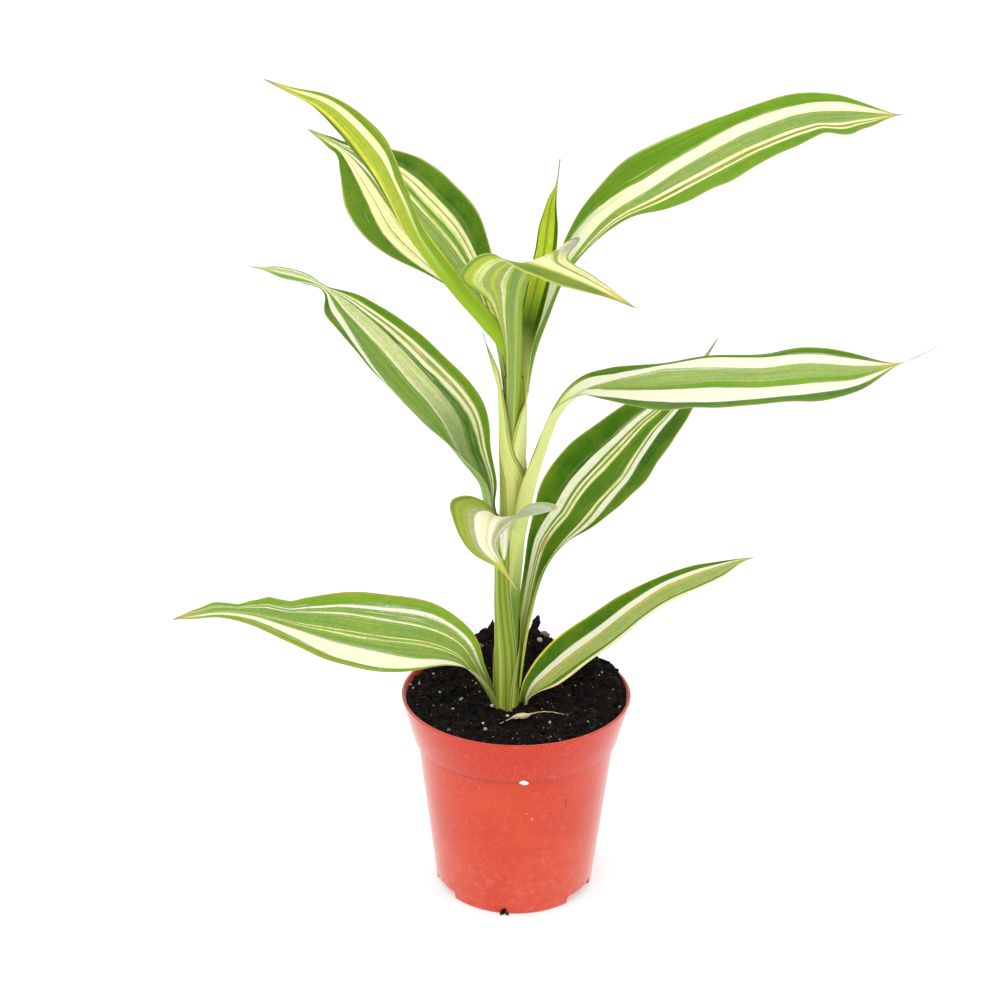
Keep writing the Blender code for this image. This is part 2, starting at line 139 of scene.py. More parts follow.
def clean(piece, near=0.0, outward=True):
    """Joins points that lie within near, in metres, and turns the faces outward."""
    b = bmesh.new()
    b.from_mesh(piece.data)
    if near:
        bmesh.ops.remove_doubles(b, verts=b.verts, dist=near)
    if outward:
        bmesh.ops.recalc_face_normals(b, faces=b.faces)
    b.to_mesh(piece.data)
    b.free()


def quads(ids):
    """Faces of a grid of point numbers."""
    return np.stack([ids[:-1, :-1], ids[:-1, 1:], ids[1:, 1:], ids[1:, :-1]], -1).reshape(-1, 4).tolist()


def normals(grid):
    return unit(np.cross(np.gradient(grid, axis=1), np.gradient(grid, axis=0)))


def thick_sheet(top, thickness):
    """Points and faces of a closed sheet: top is a grid, thickness is a number for each of its points."""
    bottom = top - normals(top) * thickness[..., None]
    ids = np.arange(thickness.size).reshape(thickness.shape)
    faces = quads(ids) + [face[::-1] for face in quads(ids + ids.size)]
    rim = [*ids[0], *ids[1:, -1], *ids[-1, -2::-1], *ids[-2:0:-1, 0]]
    faces += [(b, a, a + ids.size, b + ids.size) for a, b in zip(rim, rim[1:] + rim[:1])]
    return np.concatenate([top.reshape(-1, 3), bottom.reshape(-1, 3)]), faces


def prism(ring, low, high):
    """Points and faces of an upright block whose outline is a ring of (x, y)."""
    n = len(ring)
    faces = [tuple(range(n))[::-1], tuple(range(n, 2 * n))]
    faces += [(i, (i + 1) % n, n + (i + 1) % n, n + i) for i in range(n)]
    return [(x, y, z) for z in (low, high) for x, y in ring], faces


def ball(subdivisions):
    """Points and faces of an icosphere of radius 1."""
    b = bmesh.new()
    bmesh.ops.create_icosphere(b, subdivisions=subdivisions, radius=1.0)
    points = np.array([v.co for v in b.verts])
    faces = [[v.index for v in f.verts] for f in b.faces]
    b.free()
    return points, faces


# Shader tools


class Nodes:
    """A material whose nodes are added one call at a time."""

    def __init__(self, name):
        self.material = bpy.data.materials.new(name)
        self.material.use_nodes = True
        self.tree = self.material.node_tree
        self.shader = self.tree.nodes["Principled BSDF"]

    def add(self, kind, inputs=None, out=0, **settings):
        made = self.tree.nodes.new("ShaderNode" + kind)
        for key, value in settings.items():
            setattr(made, key, value)
        for key, value in (inputs or {}).items():
            self.feed(made.inputs[key], value)
        return made.outputs[out]

    def feed(self, socket, value):
        if isinstance(value, bpy.types.NodeSocket):
            self.tree.links.new(value, socket)
        else:
            socket.default_value = (*value, 1.0) if socket.type == "RGBA" else value

    def surface(self, **inputs):
        for key, value in inputs.items():
            self.feed(self.shader.inputs[key.replace("_", " ")], value)

    def number(self, name):
        return self.add("Attribute", out="Fac", attribute_name=name)

    def where(self):
        return self.add("NewGeometry", out="Position")

    def math(self, operation, a, b=0.0):
        return self.add("Math", {0: a, 1: b}, operation=operation)

    def times(self, a, b):
        return self.math("MULTIPLY", a, b)

    def plus(self, a, b):
        return self.math("ADD", a, b)

    def noise(self, vector, scale, detail=3.0, roughness=0.55):
        keys = {"Vector": vector, "Scale": scale, "Detail": detail, "Roughness": roughness}
        return self.add("TexNoise", keys)

    def streaks(self, s, along, wide, long, seed, detail=3.0, roughness=0.55):
        """Noise drawn out along the leaf. wide and long are its scales across and along."""
        place = self.add("CombineXYZ", {0: self.times(s, wide), 1: self.times(along, long), 2: seed})
        return self.noise(place, 1.0, detail, roughness)

    def sway(self, noise, strength):
        """Noise as a swing to either side of 0."""
        return self.times(self.math("SUBTRACT", noise, 0.5), strength)

    def stripe_place(self, s, wander):
        """From -1..1 across the leaf to 0..1 on a colour ramp."""
        return self.add("Math", {0: self.plus(s, wander), 1: 0.5, 2: 0.5}, operation="MULTIPLY_ADD")

    def spread(self, value, low, high, to_low=0.0, to_high=1.0):
        keys = {"Value": value, "From Min": low, "From Max": high, "To Min": to_low, "To Max": to_high}
        return self.add("MapRange", keys, clamp=True)

    def mix(self, factor, a, b, blend="MIX"):
        return self.add("Mix", {0: factor, 6: a, 7: b}, out=2, data_type="RGBA", blend_type=blend)

    def layers(self, colour, *pairs):
        """Colours laid over each other: each pair is an amount and a colour."""
        for amount, tint in pairs:
            colour = self.mix(amount, colour, tint)
        return colour

    def dim(self, colour, red, green, blue):
        return self.mix(1.0, colour, self.add("CombineColor", {0: red, 1: green, 2: blue}), "MULTIPLY")

    def ramp(self, value, stops):
        made = self.tree.nodes.new("ShaderNodeValToRGB")
        self.feed(made.inputs[0], value)
        elements = made.color_ramp.elements
        elements.remove(elements[1])
        elements[0].position = stops[0][0]
        elements[0].color = (*stops[0][1], 1)
        for position, colour in stops[1:]:
            elements.new(position).color = (*colour, 1)
        return made.outputs[0]

    def spot(self, where, middle, size, soft=0.35):
        """1 inside an ellipsoid of this middle and half size in millimetres, and 0 outside it."""
        middle, shrink = tuple(c * MM for c in middle), tuple(1 / (s * MM) for s in size)
        moved = self.add("VectorMath", {0: where, 1: middle}, operation="SUBTRACT")
        scaled = self.add("VectorMath", {0: moved, 1: shrink}, operation="MULTIPLY")
        far = self.add("VectorMath", {0: scaled}, out="Value", operation="LENGTH")
        return self.spread(far, 1.0 - soft, 1.0, 1.0, 0.0)

    def bump(self, height, strength, distance):
        return self.add("Bump", {"Height": height, "Strength": strength, "Distance": distance})


def stripe_stops(bands, edges, soft=0.007):
    """Stops of a colour ramp, two for each stripe, so that its edges are crisp."""
    stops, cuts = [], [-1.2, *(e / 100 for e in edges), 1.2]
    for low, high, key in zip(cuts, cuts[1:], bands):
        low, high = 0.5 + low / 2 + soft, 0.5 + high / 2 - soft
        if high < low:
            low = high = (low + high) / 2
        for at in sorted({min(max(low, 0.0), 1.0), min(max(high, 0.0), 1.0)}):
            stops.append((at, COLOURS[key]))
    return stops


def leaf_material(name, spec, dry_from, foot, seed):
    m = Nodes(name)
    s, along, under = m.number("across"), m.number("along"), m.number("under")
    fine = m.streaks(s, along, 26.0, 0.035, seed, 4.0, 0.6)
    broad = m.streaks(s, along, 7.0, 0.05, seed + 1, 2.0)
    threads, strays = m.streaks(s, along, 44.0, 0.025, seed + 2), m.streaks(s, along, 15.0, 0.03, seed + 3)
    place = m.stripe_place(s, m.plus(m.sway(fine, 0.055), m.sway(broad, 0.05)))
    astray = m.plus(place, m.sway(threads, 0.45))
    mingled = m.spread(strays, 0.42, 0.72, 0.04, spec.get("streaks", 0.5))

    def striped(bands, edges):
        stops = stripe_stops(bands, edges)
        return m.mix(mingled, m.ramp(place, stops), m.ramp(astray, stops))

    colour = striped(spec["bands"], spec["edges"][spec["main"]])
    if "under_bands" in spec:
        edges = next(iter(spec["under_edges"].values()))
        colour = m.mix(under, colour, striped(spec["under_bands"], edges))
    light = spec["light"]
    tone = m.spread(fine, 0.25, 0.75, 0.78 * light, 1.22 * light)
    tone = m.times(tone, m.spread(threads, 0.3, 0.7, 0.84, 1.16))
    where, margin = m.where(), m.math("ABSOLUTE", s)
    freckles = m.spread(m.noise(where, 800.0, 2.0), 0.57, 0.70, 0.0, spec.get("freckles", 0.25))
    colour = m.layers(
        m.dim(colour, tone, tone, tone),
        (m.spread(m.noise(where, 55.0), 0.42, 0.72, 0.0, 0.28), (0.34, 0.46, 0.02)),
        (m.spread(margin, 0.72, 0.97, 0.0, 0.18), (0.30, 0.42, 0.02)),
        (freckles, (0.30, 0.24, 0.04)))
    mottle = m.spread(m.noise(where, 520.0, 4.0, 0.65), 0.30, 0.70, 0.74, 1.26)
    colour = m.dim(colour, mottle, 1.0, mottle)
    colour = m.mix(1.0, colour, spec.get("cast", (1.0, 1.0, 1.0)), "MULTIPLY")
    colour = m.mix(1.0, colour, spec.get("palest", (0.90, 0.88, 0.68)), "DARKEN")
    key, begin = spec.get("rim", ("p", 0.96))
    rim = m.times(m.spread(margin, begin, begin + 0.025), m.spread(broad, 0.35, 0.65, 0.3, 0.85))
    colour = m.mix(rim, colour, COLOURS[key])
    if foot:
        key, low, high = foot
        inner = m.spread(margin, 0.86, 0.93, 1.0, 0.2)
        colour = m.mix(m.times(m.spread(along, low, high, 0.92, 0.0), inner), colour, COLOURS[key])
    for k, (*_, key, strength) in enumerate(spec.get("marks", ())):
        colour = m.mix(m.times(m.number(f"mark{k}"), strength), colour, COLOURS[key])
    ragged = m.plus(along, m.sway(fine, 6.0))
    colour = m.layers(
        colour,
        (m.times(under, spec.get("pale_back", 0.15)), (0.42, 0.50, 0.20)),
        (m.spread(ragged, dry_from - 9.0, dry_from, 0.0, 0.7), (0.55, 0.45, 0.08)),
        (m.spread(ragged, dry_from - 1.0, dry_from + 4.0), (0.34, 0.27, 0.17)))
    rough = m.plus(m.spread(fine, 0.2, 0.8, 0.44, 0.58), m.times(under, 0.12))
    veins = m.plus(m.times(fine, 0.6), m.times(threads, 0.4))
    m.surface(Base_Color=colour, Roughness=rough, Normal=m.bump(veins, 0.5, 0.0003), Specular_IOR_Level=0.08)
    m.surface(Subsurface_Weight=0.08, Subsurface_Scale=0.001, Subsurface_Radius=(0.7, 1.0, 0.3))
    return m.material


def leaf_rows(spec, t):
    """Along a leaf: the places of its midrib, and the directions across the blade and out of it."""
    place = smooth(spec["midrib"], t)
    along = unit(np.gradient(place, axis=0))
    out = math.radians(spec["out"])
    level = np.array([math.sin(out), -math.cos(out), 0.0])
    across = unit(level - (along @ level)[:, None] * along)
    up = np.cross(across, along)
    roll = np.radians(smooth(spec["roll"], t))
    return place, across * np.cos(roll) + up * np.sin(roll), up * np.cos(roll) - across * np.sin(roll)


def leaf_grid(spec, rows, columns):
    t = np.linspace(0, len(spec["midrib"]) - 1, rows)
    place, across, up = leaf_rows(spec, t)
    shares = np.sin(np.linspace(-1, 1, columns) * math.pi / 2)
    shares = 0.5 * shares + 0.5 * np.linspace(-1, 1, columns)
    grid = np.zeros((rows, columns, 3))
    for j, share in enumerate(shares):
        side, s = ("right", share) if share > 0 else ("left", -share)
        half = smooth(spec[side], t)
        for which, u, long, more in spec.get("waves", ()):
            if which == side:
                half = half + more * np.exp(-((t[:, None] - u) / long) ** 2)
        half = np.maximum(half, 0.2)
        fold = np.radians(smooth(spec.get("fold_" + side, spec["fold"]), t))
        fold = np.where(np.abs(fold) < 1e-3, 1e-3, fold)
        start, grow = CREASE * fold, 2 * (1 - CREASE) * fold
        flat = half * (np.sin(start + grow * s) - np.sin(start)) / grow
        lift = half * (np.cos(start) - np.cos(start + grow * s)) / grow
        grid[:, j] = place + math.copysign(1, share) * flat * across + lift * up
    return grid, t, shares


def stripe_places(edges, main, t, shares):
    """For every point of a leaf, where it falls among the stripes as they lie at the main station."""
    stations = sorted(edges)
    main = np.array([-100, *edges[main], 100]) / 100
    table = np.array([[-100, *edges[u], 100] for u in stations]) / 100
    moved = np.stack([np.interp(t, stations, column) for column in table.T], axis=1)
    nudge = 1e-4 * np.arange(len(main))
    return np.stack([np.interp(shares, np.maximum.accumulate(row + nudge), main) for row in moved])


def make_leaf(name, seed, **spec):
    knots = len(spec["midrib"])
    rows, columns = 12 * knots + 1, 41
    top, t, shares = leaf_grid(spec, rows, columns)
    steps = np.linalg.norm(np.diff(top[:, columns // 2], axis=0), axis=1)
    along = np.concatenate([[0], np.cumsum(steps)])
    widths = smooth(spec["left"], t)[:, 0] + smooth(spec["right"], t)[:, 0]
    thick = np.minimum(0.42, 0.10 + 0.035 * widths)[:, None] * (1 - 0.72 * np.abs(shares) ** 3)[None, :]
    rng = np.random.default_rng(seed)
    phase = rng.uniform(0, 6.28, 4)
    ripple = np.sin(along[:, None] * 0.21 + phase[0]) + 0.5 * np.sin(along[:, None] * 0.37 + phase[1])
    size = np.clip((widths - 8) / 20, 0, 1)[:, None] * 0.28 * np.abs(shares)[None, :] ** 3
    sided = np.where(shares > 0, 1.0, np.cos(phase[2]))[None, :]
    top = top + normals(top) * (ripple * size * sided)[..., None]
    points, faces = thick_sheet(top, thick)
    s = below = stripe_places(spec["edges"], spec["main"], t, shares)
    if "under_edges" in spec:
        below = stripe_places(spec["under_edges"], next(iter(spec["under_edges"])), t, shares)
    values = {
        "across": np.concatenate([s.ravel(), below.ravel()]),
        "along": np.tile(np.repeat(along, columns), 2),
        "under": np.repeat([0.0, 1.0], s.size),
    }
    for k, (u, v, long, wide, *_) in enumerate(spec.get("marks", ())):
        near = np.exp(-(((t[:, None] - u) / long) ** 2 + ((shares[None, :] - v) / wide) ** 2) ** 2)
        values[f"mark{k}"] = np.tile(near.ravel(), 2)
    dry_from = float(np.interp(spec["dry"], t, along))
    foot = spec.get("foot")
    if foot:
        foot = (foot[0], *(float(np.interp(u, t, along)) for u in foot[1:]))
    look = leaf_material(name + "_look", spec, dry_from, foot, seed * 3.7)
    settle(put_mesh(name + "_blade", points, faces, look, values), name)


# Leaves. A list that runs along a leaf has one entry for each station of its midrib, foot to tip.
# out: the way the leaf leaves the stem, an angle; dry: station where the dry tip begins
# left, right: half widths; roll: turn about the midrib; fold: slope of the two halves
# waves: (side, station, length, millimetres) added to a half width
# bands: the stripes' colours from the left margin to the right; edges: at some stations, the places
# between stripes in hundredths of the half width, and main is the station that the material uses
# foot: colour of the foot, and the stations where it starts to fade and is gone
# marks: (station, place across, length, width, colour, strength)

make_leaf("leaf_top_left", 1,
    out=235, dry=10.5, light=1.3, pale_back=0.04, foot=("v", 1.6, 6.2), cast=(1.2, 1.0, 1.0),
    midrib=[(-3, -10.2, 204), (-5.6, -13.4, 222), (-13.5, -20, 235), (-21.5, -25, 246), (-29, -31, 258),
      (-36, -37, 271), (-41, -43, 284), (-47, -49, 298), (-55, -54, 309.5), (-63, -58, 317.5),
      (-73, -61, 322), (-81, -63, 325.5)],
    left=[5, 5.6, 8, 9, 10, 9, 11, 9, 6, 3, 1, 0.2], right=[4.5, 5, 6, 7, 9, 10, 8, 8.5, 6.5, 4.5, 2, 0.2],
    roll=[0, 0, -10, -20, -30, -40, -50, -50, -50, -50, -40, -30],
    fold=[70, 75, 85, 85, 85, 80, 70, 50, 40, 30, 20, 0],
    bands="fygclyd", main=7, edges={1: (-62, -45, -13, -12, 40, 60), 5: (-66, -50, -13, -12, 36, 50),
      6.5: (-70, -60, -20, -10, 30, 46), 7: (-80, -75, -38, -13, 30, 50), 8: (-90, -88, -45, -12, 34, 62),
      9.5: (-98, -96, -60, -8, 40, 80)},
    marks=[(2.2, -0.12, 3.3, 0.12, "v", 0.95)])
make_leaf("leaf_top_left_rear", 2, out=140, dry=9.5, light=1.15, streaks=0.35,
    midrib=[(-3.6, -8.9, 196), (-8, -5, 224), (-13.5, 0, 235), (-20.5, 7, 244.5), (-30, 16, 254),
      (-40.5, 26, 262.5), (-51, 36, 272), (-62, 45, 281), (-68, 49, 285), (-74, 52, 288), (-81, 55, 291)],
    left=[4.5, 5, 7, 14, 20, 21, 18, 8, 3, 3, 0.2], right=[4.5, 5, 7, 14, 20, 21, 18, 8, 3, 3, 0.2],
    roll=[0, 5, 15, 25, 30, 35, 35, 45, 70, 120, 120], fold=[50, 55, 45, 35, 25, 20, 15, 12, 10, 10, 0],
    bands="fcocowtcgcocd", main=5, edges={3.5: (-72, -50, -47, -30, -20, -2, 22, 27, 38, 46, 50, 58),
      5: (-62, -44, -42, -22, -12, 4, 26, 30, 40, 49, 52, 60),
      6: (-46, -33, -31, -15, -5, 6, 28, 32, 42, 50, 53, 61),
      7: (-40, -28, -26, -5, 3, 8, 30, 34, 44, 52, 55, 62)},
    marks=[(0.5, 0.0, 1.0, 3.0, "s", 0.85)])
make_leaf("leaf_young", 3, out=90, dry=7.1, light=1.4, foot=("d", 1.6, 3.4),
    midrib=[(-1.4, -10.8, 192), (0.2, -9.8, 222), (4, -9, 239), (6.5, -8, 250), (8.5, -7, 260),
      (9.5, -7, 269), (10.5, -8, 277), (12, -8, 283), (13, -9, 292)],
    left=[4.4, 5.2, 5.6, 6.5, 6, 5.5, 3, 0.5, 0.2], right=[4.4, 5.2, 5.6, 6.5, 6, 5, 2.5, 0.5, 0.2],
    roll=[0] * 9, fold=[50, 45, 45, 52, 50, 50, 50, 40, 0],
    bands="dylyd", main=4, edges={4: (-70, -15, 0, 50)}, marks=[(0.4, 0.0, 0.9, 3.0, "s", 0.9)])
make_leaf("leaf_top_right", 4, out=25, dry=11.1, light=1.3, foot=("m", 0.3, 1.8),
    midrib=[(0.4, -9.8, 186), (4.2, -5.8, 216), (10, 0, 234), (15.5, 6, 247), (24, 14, 258), (34, 22, 266.5),
      (48.5, 31, 273), (67, 40, 281), (86, 48, 288.5), (105.5, 54, 295.5), (123.5, 57, 296.5),
      (141, 58, 297.5), (147, 58, 297.5)],
    left=[4.4, 4.8, 4.8, 5, 8, 11, 16, 16, 14.5, 12.8, 11.5, 1.6, 0.2],
    right=[4.4, 4.8, 4.8, 5, 8, 11, 16, 16.2, 13.6, 12.6, 11.5, 1.6, 0.2],
    roll=[0, 0, -10, -20, -28, -30, -30, -30, -30, -30, -28, -20, 0],
    fold=[50, 52, 52, 50, 40, 28, 20, 15, 12, 12, 10, 5, 0],
    waves=[("right", 9.35, 0.2, -1.3), ("right", 9.8, 0.2, 1.0), ("right", 10.2, 0.15, -0.8)],
    bands="gatcocg", main=8, edges={3: (-80, -10, 20, 28, 40, 46), 4: (-72, -5, 20, 30, 42, 48),
      5: (-47, -5, 27, 34, 44, 52), 6: (-36, -8, 20, 30, 42, 49), 7: (-46, -20, 18, 27, 41, 45),
      8: (-62, -30, 16, 28, 38, 46), 9: (-59, -27, 27, 38, 50, 60), 10: (-72, -33, 22, 36, 50, 58)},
    marks=[(2.0, 0.78, 1.7, 0.35, "d", 0.6), (5.0, -0.8, 1.6, 0.35, "d", 0.35)])
make_leaf("leaf_top_front", 5, out=-65, dry=7.3, light=1.0,
    midrib=[(-2.2, -14.6, 184), (-1.4, -16.6, 222), (-2.6, -22, 243), (-3, -30, 255), (-1, -40, 262.5),
      (7, -55, 264.5), (20, -70, 263), (29, -80, 261), (35, -84, 259)],
    left=[5.5, 6.2, 8.4, 17, 24, 10, 5, 2, 0.2], right=[4.2, 4.4, 9, 18.5, 10.5, 6, 7, 2, 0.2], roll=[0] * 9,
    fold=[48, 52, 40, 20, 15, 12, 12, 12, 0], fold_right=[48, 52, 38, 18, 26, -12, 0, 6, 0],
    bands="dclcyngy", main=5, edges={5: (-93, -62, -50, -10, 6, 60, 86)},
    under_bands="plktlcqyqsyg", under_edges={4: (-85, -50, -30, -10, 0, 10, 22, 36, 50, 70, 88),
      1: (-94, 5, 15, 55, 72, 78, 82, 86, 90, 93, 96), 2.4: (-88, -30, -10, 10, 20, 30, 38, 48, 60, 78, 92)},
    # painted sheen: the mark in e is a grey sheen painted on the curled edge
    marks=[(4.25, -0.95, 0.5, 0.32, "e", 0.85)])
make_leaf("leaf_middle_left", 6, out=160, dry=11.3, light=1.42, cast=(1.05, 1.0, 1.25),
    midrib=[(-6.2, -12.2, 148), (-12, -13, 163), (-14, -12, 173), (-20, -9, 183), (-27, -4, 195.5),
      (-40.5, 3, 209.5), (-53, 10, 221), (-64.5, 16, 230.5), (-72, 20, 237.5), (-81, 23, 241.5),
      (-90, 26, 243), (-96, 28, 243.5), (-101.5, 29, 244)],
    left=[4, 4, 6.5, 11, 16, 16.5, 14.8, 11.3, 1.5, 2.5, 3.5, 1, 0.2],
    right=[4, 4, 6.5, 11, 16, 16, 14, 10, 1.5, 3, 4, 1, 0.2],
    roll=[0, 5, 10, 18, 22, 20, 20, 20, 60, 110, 130, 130, 130],
    fold=[80, 70, 55, 38, 24, 18, 15, 12, 10, 10, 10, 10, 0],
    bands="dwuczdcocf", main=7, edges={3: (-99, -98, -30, -25, 20, 62, 63, 72, 80),
      4: (-99, -98, -15, -12, 30, 58, 60, 69, 76), 5: (-98.5, -97, -10, -7, 35, 47, 56, 68, 75),
      6: (-86, -70, -6, -1, 38, 48, 57, 66, 74), 7: (-60, -32, -2, 5, 42, 48, 57, 64, 72),
      8: (-55, -25, 5, 12, 40, 46, 55, 62, 70), 9.2: (-96, -93, -30, -10, 30, 46, 55, 62, 80)},
    marks=[(2.6, 0.1, 1.9, 0.5, "f", 0.65)])
make_leaf("leaf_middle_right", 7, out=-8, dry=11.0, light=1.5, foot=("s", 3.0, 4.3), cast=(1.06, 1.0, 1.2),
    midrib=[(1.6, -11.6, 148), (5.3, -15, 171), (9.0, -16, 186), (14.3, -18, 202), (22, -21, 211),
      (31.5, -25, 213.5), (49, -28, 214), (66.5, -31, 216.5), (85, -33, 218.5), (101, -34, 220.5),
      (116, -35, 223), (129.5, -36, 227), (136.5, -36, 230), (143, -36, 233.5)],
    left=[6, 6, 4.5, 3.6, 6.4, 11, 15, 17, 16.5, 18.2, 12, 1.2, 0.5, 0.2],
    right=[6.4, 6.8, 4.6, 4.4, 4.8, 11, 15, 17, 15.5, 16.5, 13, 1, 0.5, 0.2],
    roll=[0, 0, -5, -10, -15, -16, -16, -16, -16, -16, -16, -10, 0, 0],
    fold=[50, 52, 62, 60, 32, 16, 10, 10, 8, 8, 8, 5, 0, 0],
    bands="dwtgwd", main=10, edges={4.1: (-75, -15, -15, -15, 90), 5: (-70, -45, -10, -2, 55),
      6: (-93, -84, -20, -8, 50), 7: (-94, -66, -20, -2, 68), 8: (-90, -58, -10, 13, 66),
      9: (-80, -55, -10, 12, 58), 10: (-74, -42, 0, 25, 60)},
    marks=[(0.0, 0.0, 1.1, 3.0, "k", 0.45), (3.9, -0.97, 1.6, 0.07, "o", 0.7)])
make_leaf("leaf_middle_right_rear", 8, out=45, dry=11.9, light=1.2, streaks=0.3, foot=("y", 0.6, 2.4),
    midrib=[(0.3, -10, 90), (3.6, -7.4, 112), (8, -3, 131), (12.5, 3, 142), (20, 10, 151.5), (26.5, 17, 159),
      (34.5, 24, 165.5), (42.5, 31, 172), (50.5, 37, 179), (58, 42, 184.5), (64.5, 46, 190.5),
      (70.5, 49, 197.5), (74.5, 52, 204), (79, 55, 210.5)],
    left=[5.2, 4.8, 7, 10, 15.5, 17.5, 18, 16, 13.5, 10.5, 7, 3, 1, 0.2],
    right=[5.2, 4.6, 6, 10.5, 16, 18, 18.5, 16, 14.5, 11, 8, 4, 1, 0.2],
    roll=[0, 0, -5, -10, -15, -18, -18, -18, -18, -18, -18, -15, 0, 0],
    fold=[40, 52, 55, 40, 26, 18, 16, 14, 12, 10, 10, 10, 5, 0],
    bands="dwfcfcfcfwd", main=6, edges={3: (-68, -45, -40, -35, -30, -20, 40, 48, 55, 75),
      4: (-45, -28, -22, -17, -12, -5, 36, 44, 55, 75), 6: (-45, -28, -22, -17, -12, -5, 37, 43, 47, 58),
      8: (-45, -30, -25, -20, -15, -8, 18, 22, 26, 42)},
    marks=[(3.0, -0.27, 0.3, 0.05, "b", 0.85)])
make_leaf("leaf_small_front", 9, out=-95, dry=7.6, light=1.18, streaks=0.3, cast=(1.08, 1.0, 1.3),
    midrib=[(-5, -15.5, 143), (-5, -18, 155), (-5, -26, 164), (-7, -40, 171), (-9, -52, 173), (-10, -60, 169),
      (-6.5, -66, 164), (-4, -68.5, 160.5), (-1, -70.5, 156.5)],
    left=[5, 5, 8, 21, 8, 2.2, 0.9, 0.4, 0.15], right=[5, 5, 11, 16.5, 16.5, 10, 2.4, 0.6, 0.15],
    roll=[0] * 9, fold=[70, 60, 38, 12, 15, 20, 20, 20, 0], fold_right=[70, 60, 42, 24, 20, 20, 20, 20, 0],
    # painted sheen: the stripe in x and the mark in x are a pale grey sheen painted where the leaf curls
    bands="qxqkicisaqmo", main=4, edges={4: (-90, -60, -30, -22, -10, 8, 18, 26, 42, 62, 90)},
    marks=[(3.0, -0.5, 0.8, 0.45, "x", 0.4), (6.3, 0.0, 0.6, 1.5, "y", 0.8), (7.0, 0.0, 0.4, 1.5, "b", 0.6)])
make_leaf("leaf_lower_left", 10,
    out=178, dry=10.5, light=1.5, freckles=0.6, foot=("n", 1.0, 2.8), rim=("b", 0.945), cast=(1.1, 1.0, 1.45),
      palest=(0.9, 0.86, 0.62),
    midrib=[(-8.5, -12, 81), (-12, -13, 89), (-16.5, -14, 97), (-23.5, -14, 105), (-35, -13, 109),
      (-50, -12, 110.5), (-67.5, -11, 113), (-84.5, -10, 115.5), (-100, -9, 118.5), (-112.5, -8, 119),
      (-123, -7, 117), (-132, -6, 114.5)],
    left=[3, 3.5, 5.5, 11, 15.5, 17, 15.5, 10, 5.7, 3.2, 2.3, 0.2],
    right=[3, 3.5, 5.5, 11, 15.5, 17, 15.5, 10, 5.7, 3.2, 2.3, 0.2],
    roll=[5, 10, 20, 30, 36, 36, 36, 36, 36, 36, 30, 20],
    fold=[75, 65, 50, 30, 18, 12, 10, 10, 10, 10, 10, 0],
    waves=[("right", 7.75, 0.18, 1.0), ("right", 7.2, 0.2, -0.9), ("right", 8.5, 0.25, -1.1),
      ("right", 9.3, 0.3, 1.0)],
    bands="gwususucuwg", main=6, edges={4: (-90, -58, -11, -9, -1, 1, 35, 37, 62, 73),
      5: (-87, -45, -11, -9, -1, 1, 38, 41, 62, 70), 6: (-83, -40, -11, -9, -1, 1, 42, 45, 61, 66),
      7: (-65, -30, -10, -9, -2, 0, 43, 46, 58, 61), 8: (-47, -20, -10, -9, -2, 0, 43, 46, 58, 60)})
make_leaf("leaf_lower_right", 11, out=20, dry=10.4, light=1.6, cast=(1.18, 1.0, 1.2),
    midrib=[(4, -9, 81), (4.5, -8, 84), (7.5, -5, 88), (13.5, 0, 91.5), (22, 5, 97), (34, 12, 103.5),
      (45.5, 17, 111), (57.5, 22, 117.5), (70, 26, 121.5), (81, 29, 124), (90, 31, 125.5), (95, 32, 126)],
    left=[3, 3.5, 5, 7.2, 8.3, 7.8, 6.6, 4.3, 3.4, 1.6, 0.7, 0.2],
    right=[4, 6, 8.5, 9.4, 9.8, 10, 9.3, 9.2, 9, 6.5, 2.2, 0.2],
    roll=[0, -5, -15, -22, -25, -25, -25, -25, -25, -25, -10, 0],
    fold=[75, 65, 45, 28, 18, 12, 10, 8, 8, 8, 8, 0], fold_right=[40, 25, 12, 12, 12, 12, 10, 8, 8, 8, 8, 0],
    bands="ydwgbtdp", main=3, edges={3: (-88, -24, 5, 12, 18, 62, 85), 5: (-97, -24, 10, 14, 18, 78, 84),
      8: (-98, -30, 8, 12, 16, 80, 86)})


# Stem and sheaths


def sheath_material(name, bands, edges, seed, top):
    """Striped sheath. top is a colour that takes over from the second number to the third, as heights."""
    m = Nodes(name)
    s, along = m.number("across"), m.number("along")
    fine = m.streaks(s, along, 14.0, 0.02, seed, 4.0, 0.6)
    colour = m.ramp(m.stripe_place(s, m.sway(fine, 0.08)), stripe_stops(bands, edges, 0.008))
    if top:
        key, low, high = top
        colour = m.mix(m.spread(along, low, high), colour, COLOURS[key])
    tone = m.spread(fine, 0.25, 0.75, 0.82, 1.18)
    colour = m.layers(
        m.dim(colour, tone, tone, tone),
        (m.spread(m.noise(m.where(), 420.0), 0.62, 0.78, 0.0, 0.35), (0.30, 0.26, 0.07)),
        (m.times(m.spread(m.math("ABSOLUTE", s), 0.965, 0.985), 0.7), COLOURS["p"]))
    m.surface(Base_Color=colour, Roughness=m.spread(fine, 0.2, 0.8, 0.32, 0.45))
    m.surface(Normal=m.bump(fine, 0.35, 0.0002), Specular_IOR_Level=0.2)
    m.surface(Subsurface_Weight=0.1, Subsurface_Scale=0.0012)
    return m.material


def soften(z, heights, values):
    """Values read off at z, with the corners of the list rounded over about 4 mm."""
    wide = np.arange(-3.0, 3.01, 0.5)
    slope = np.diff(values) / np.diff(heights)
    h = np.concatenate([[heights[0] - 10], heights, [heights[-1] + 10]])
    v = np.concatenate([[values[0] - 10 * slope[0]], values, [values[-1] + 10 * slope[-1]]])
    weight = np.exp(-(wide / 1.8) ** 2)
    return sum(w * np.interp(z + d, h, v) for d, w in zip(wide, weight)) / weight.sum()


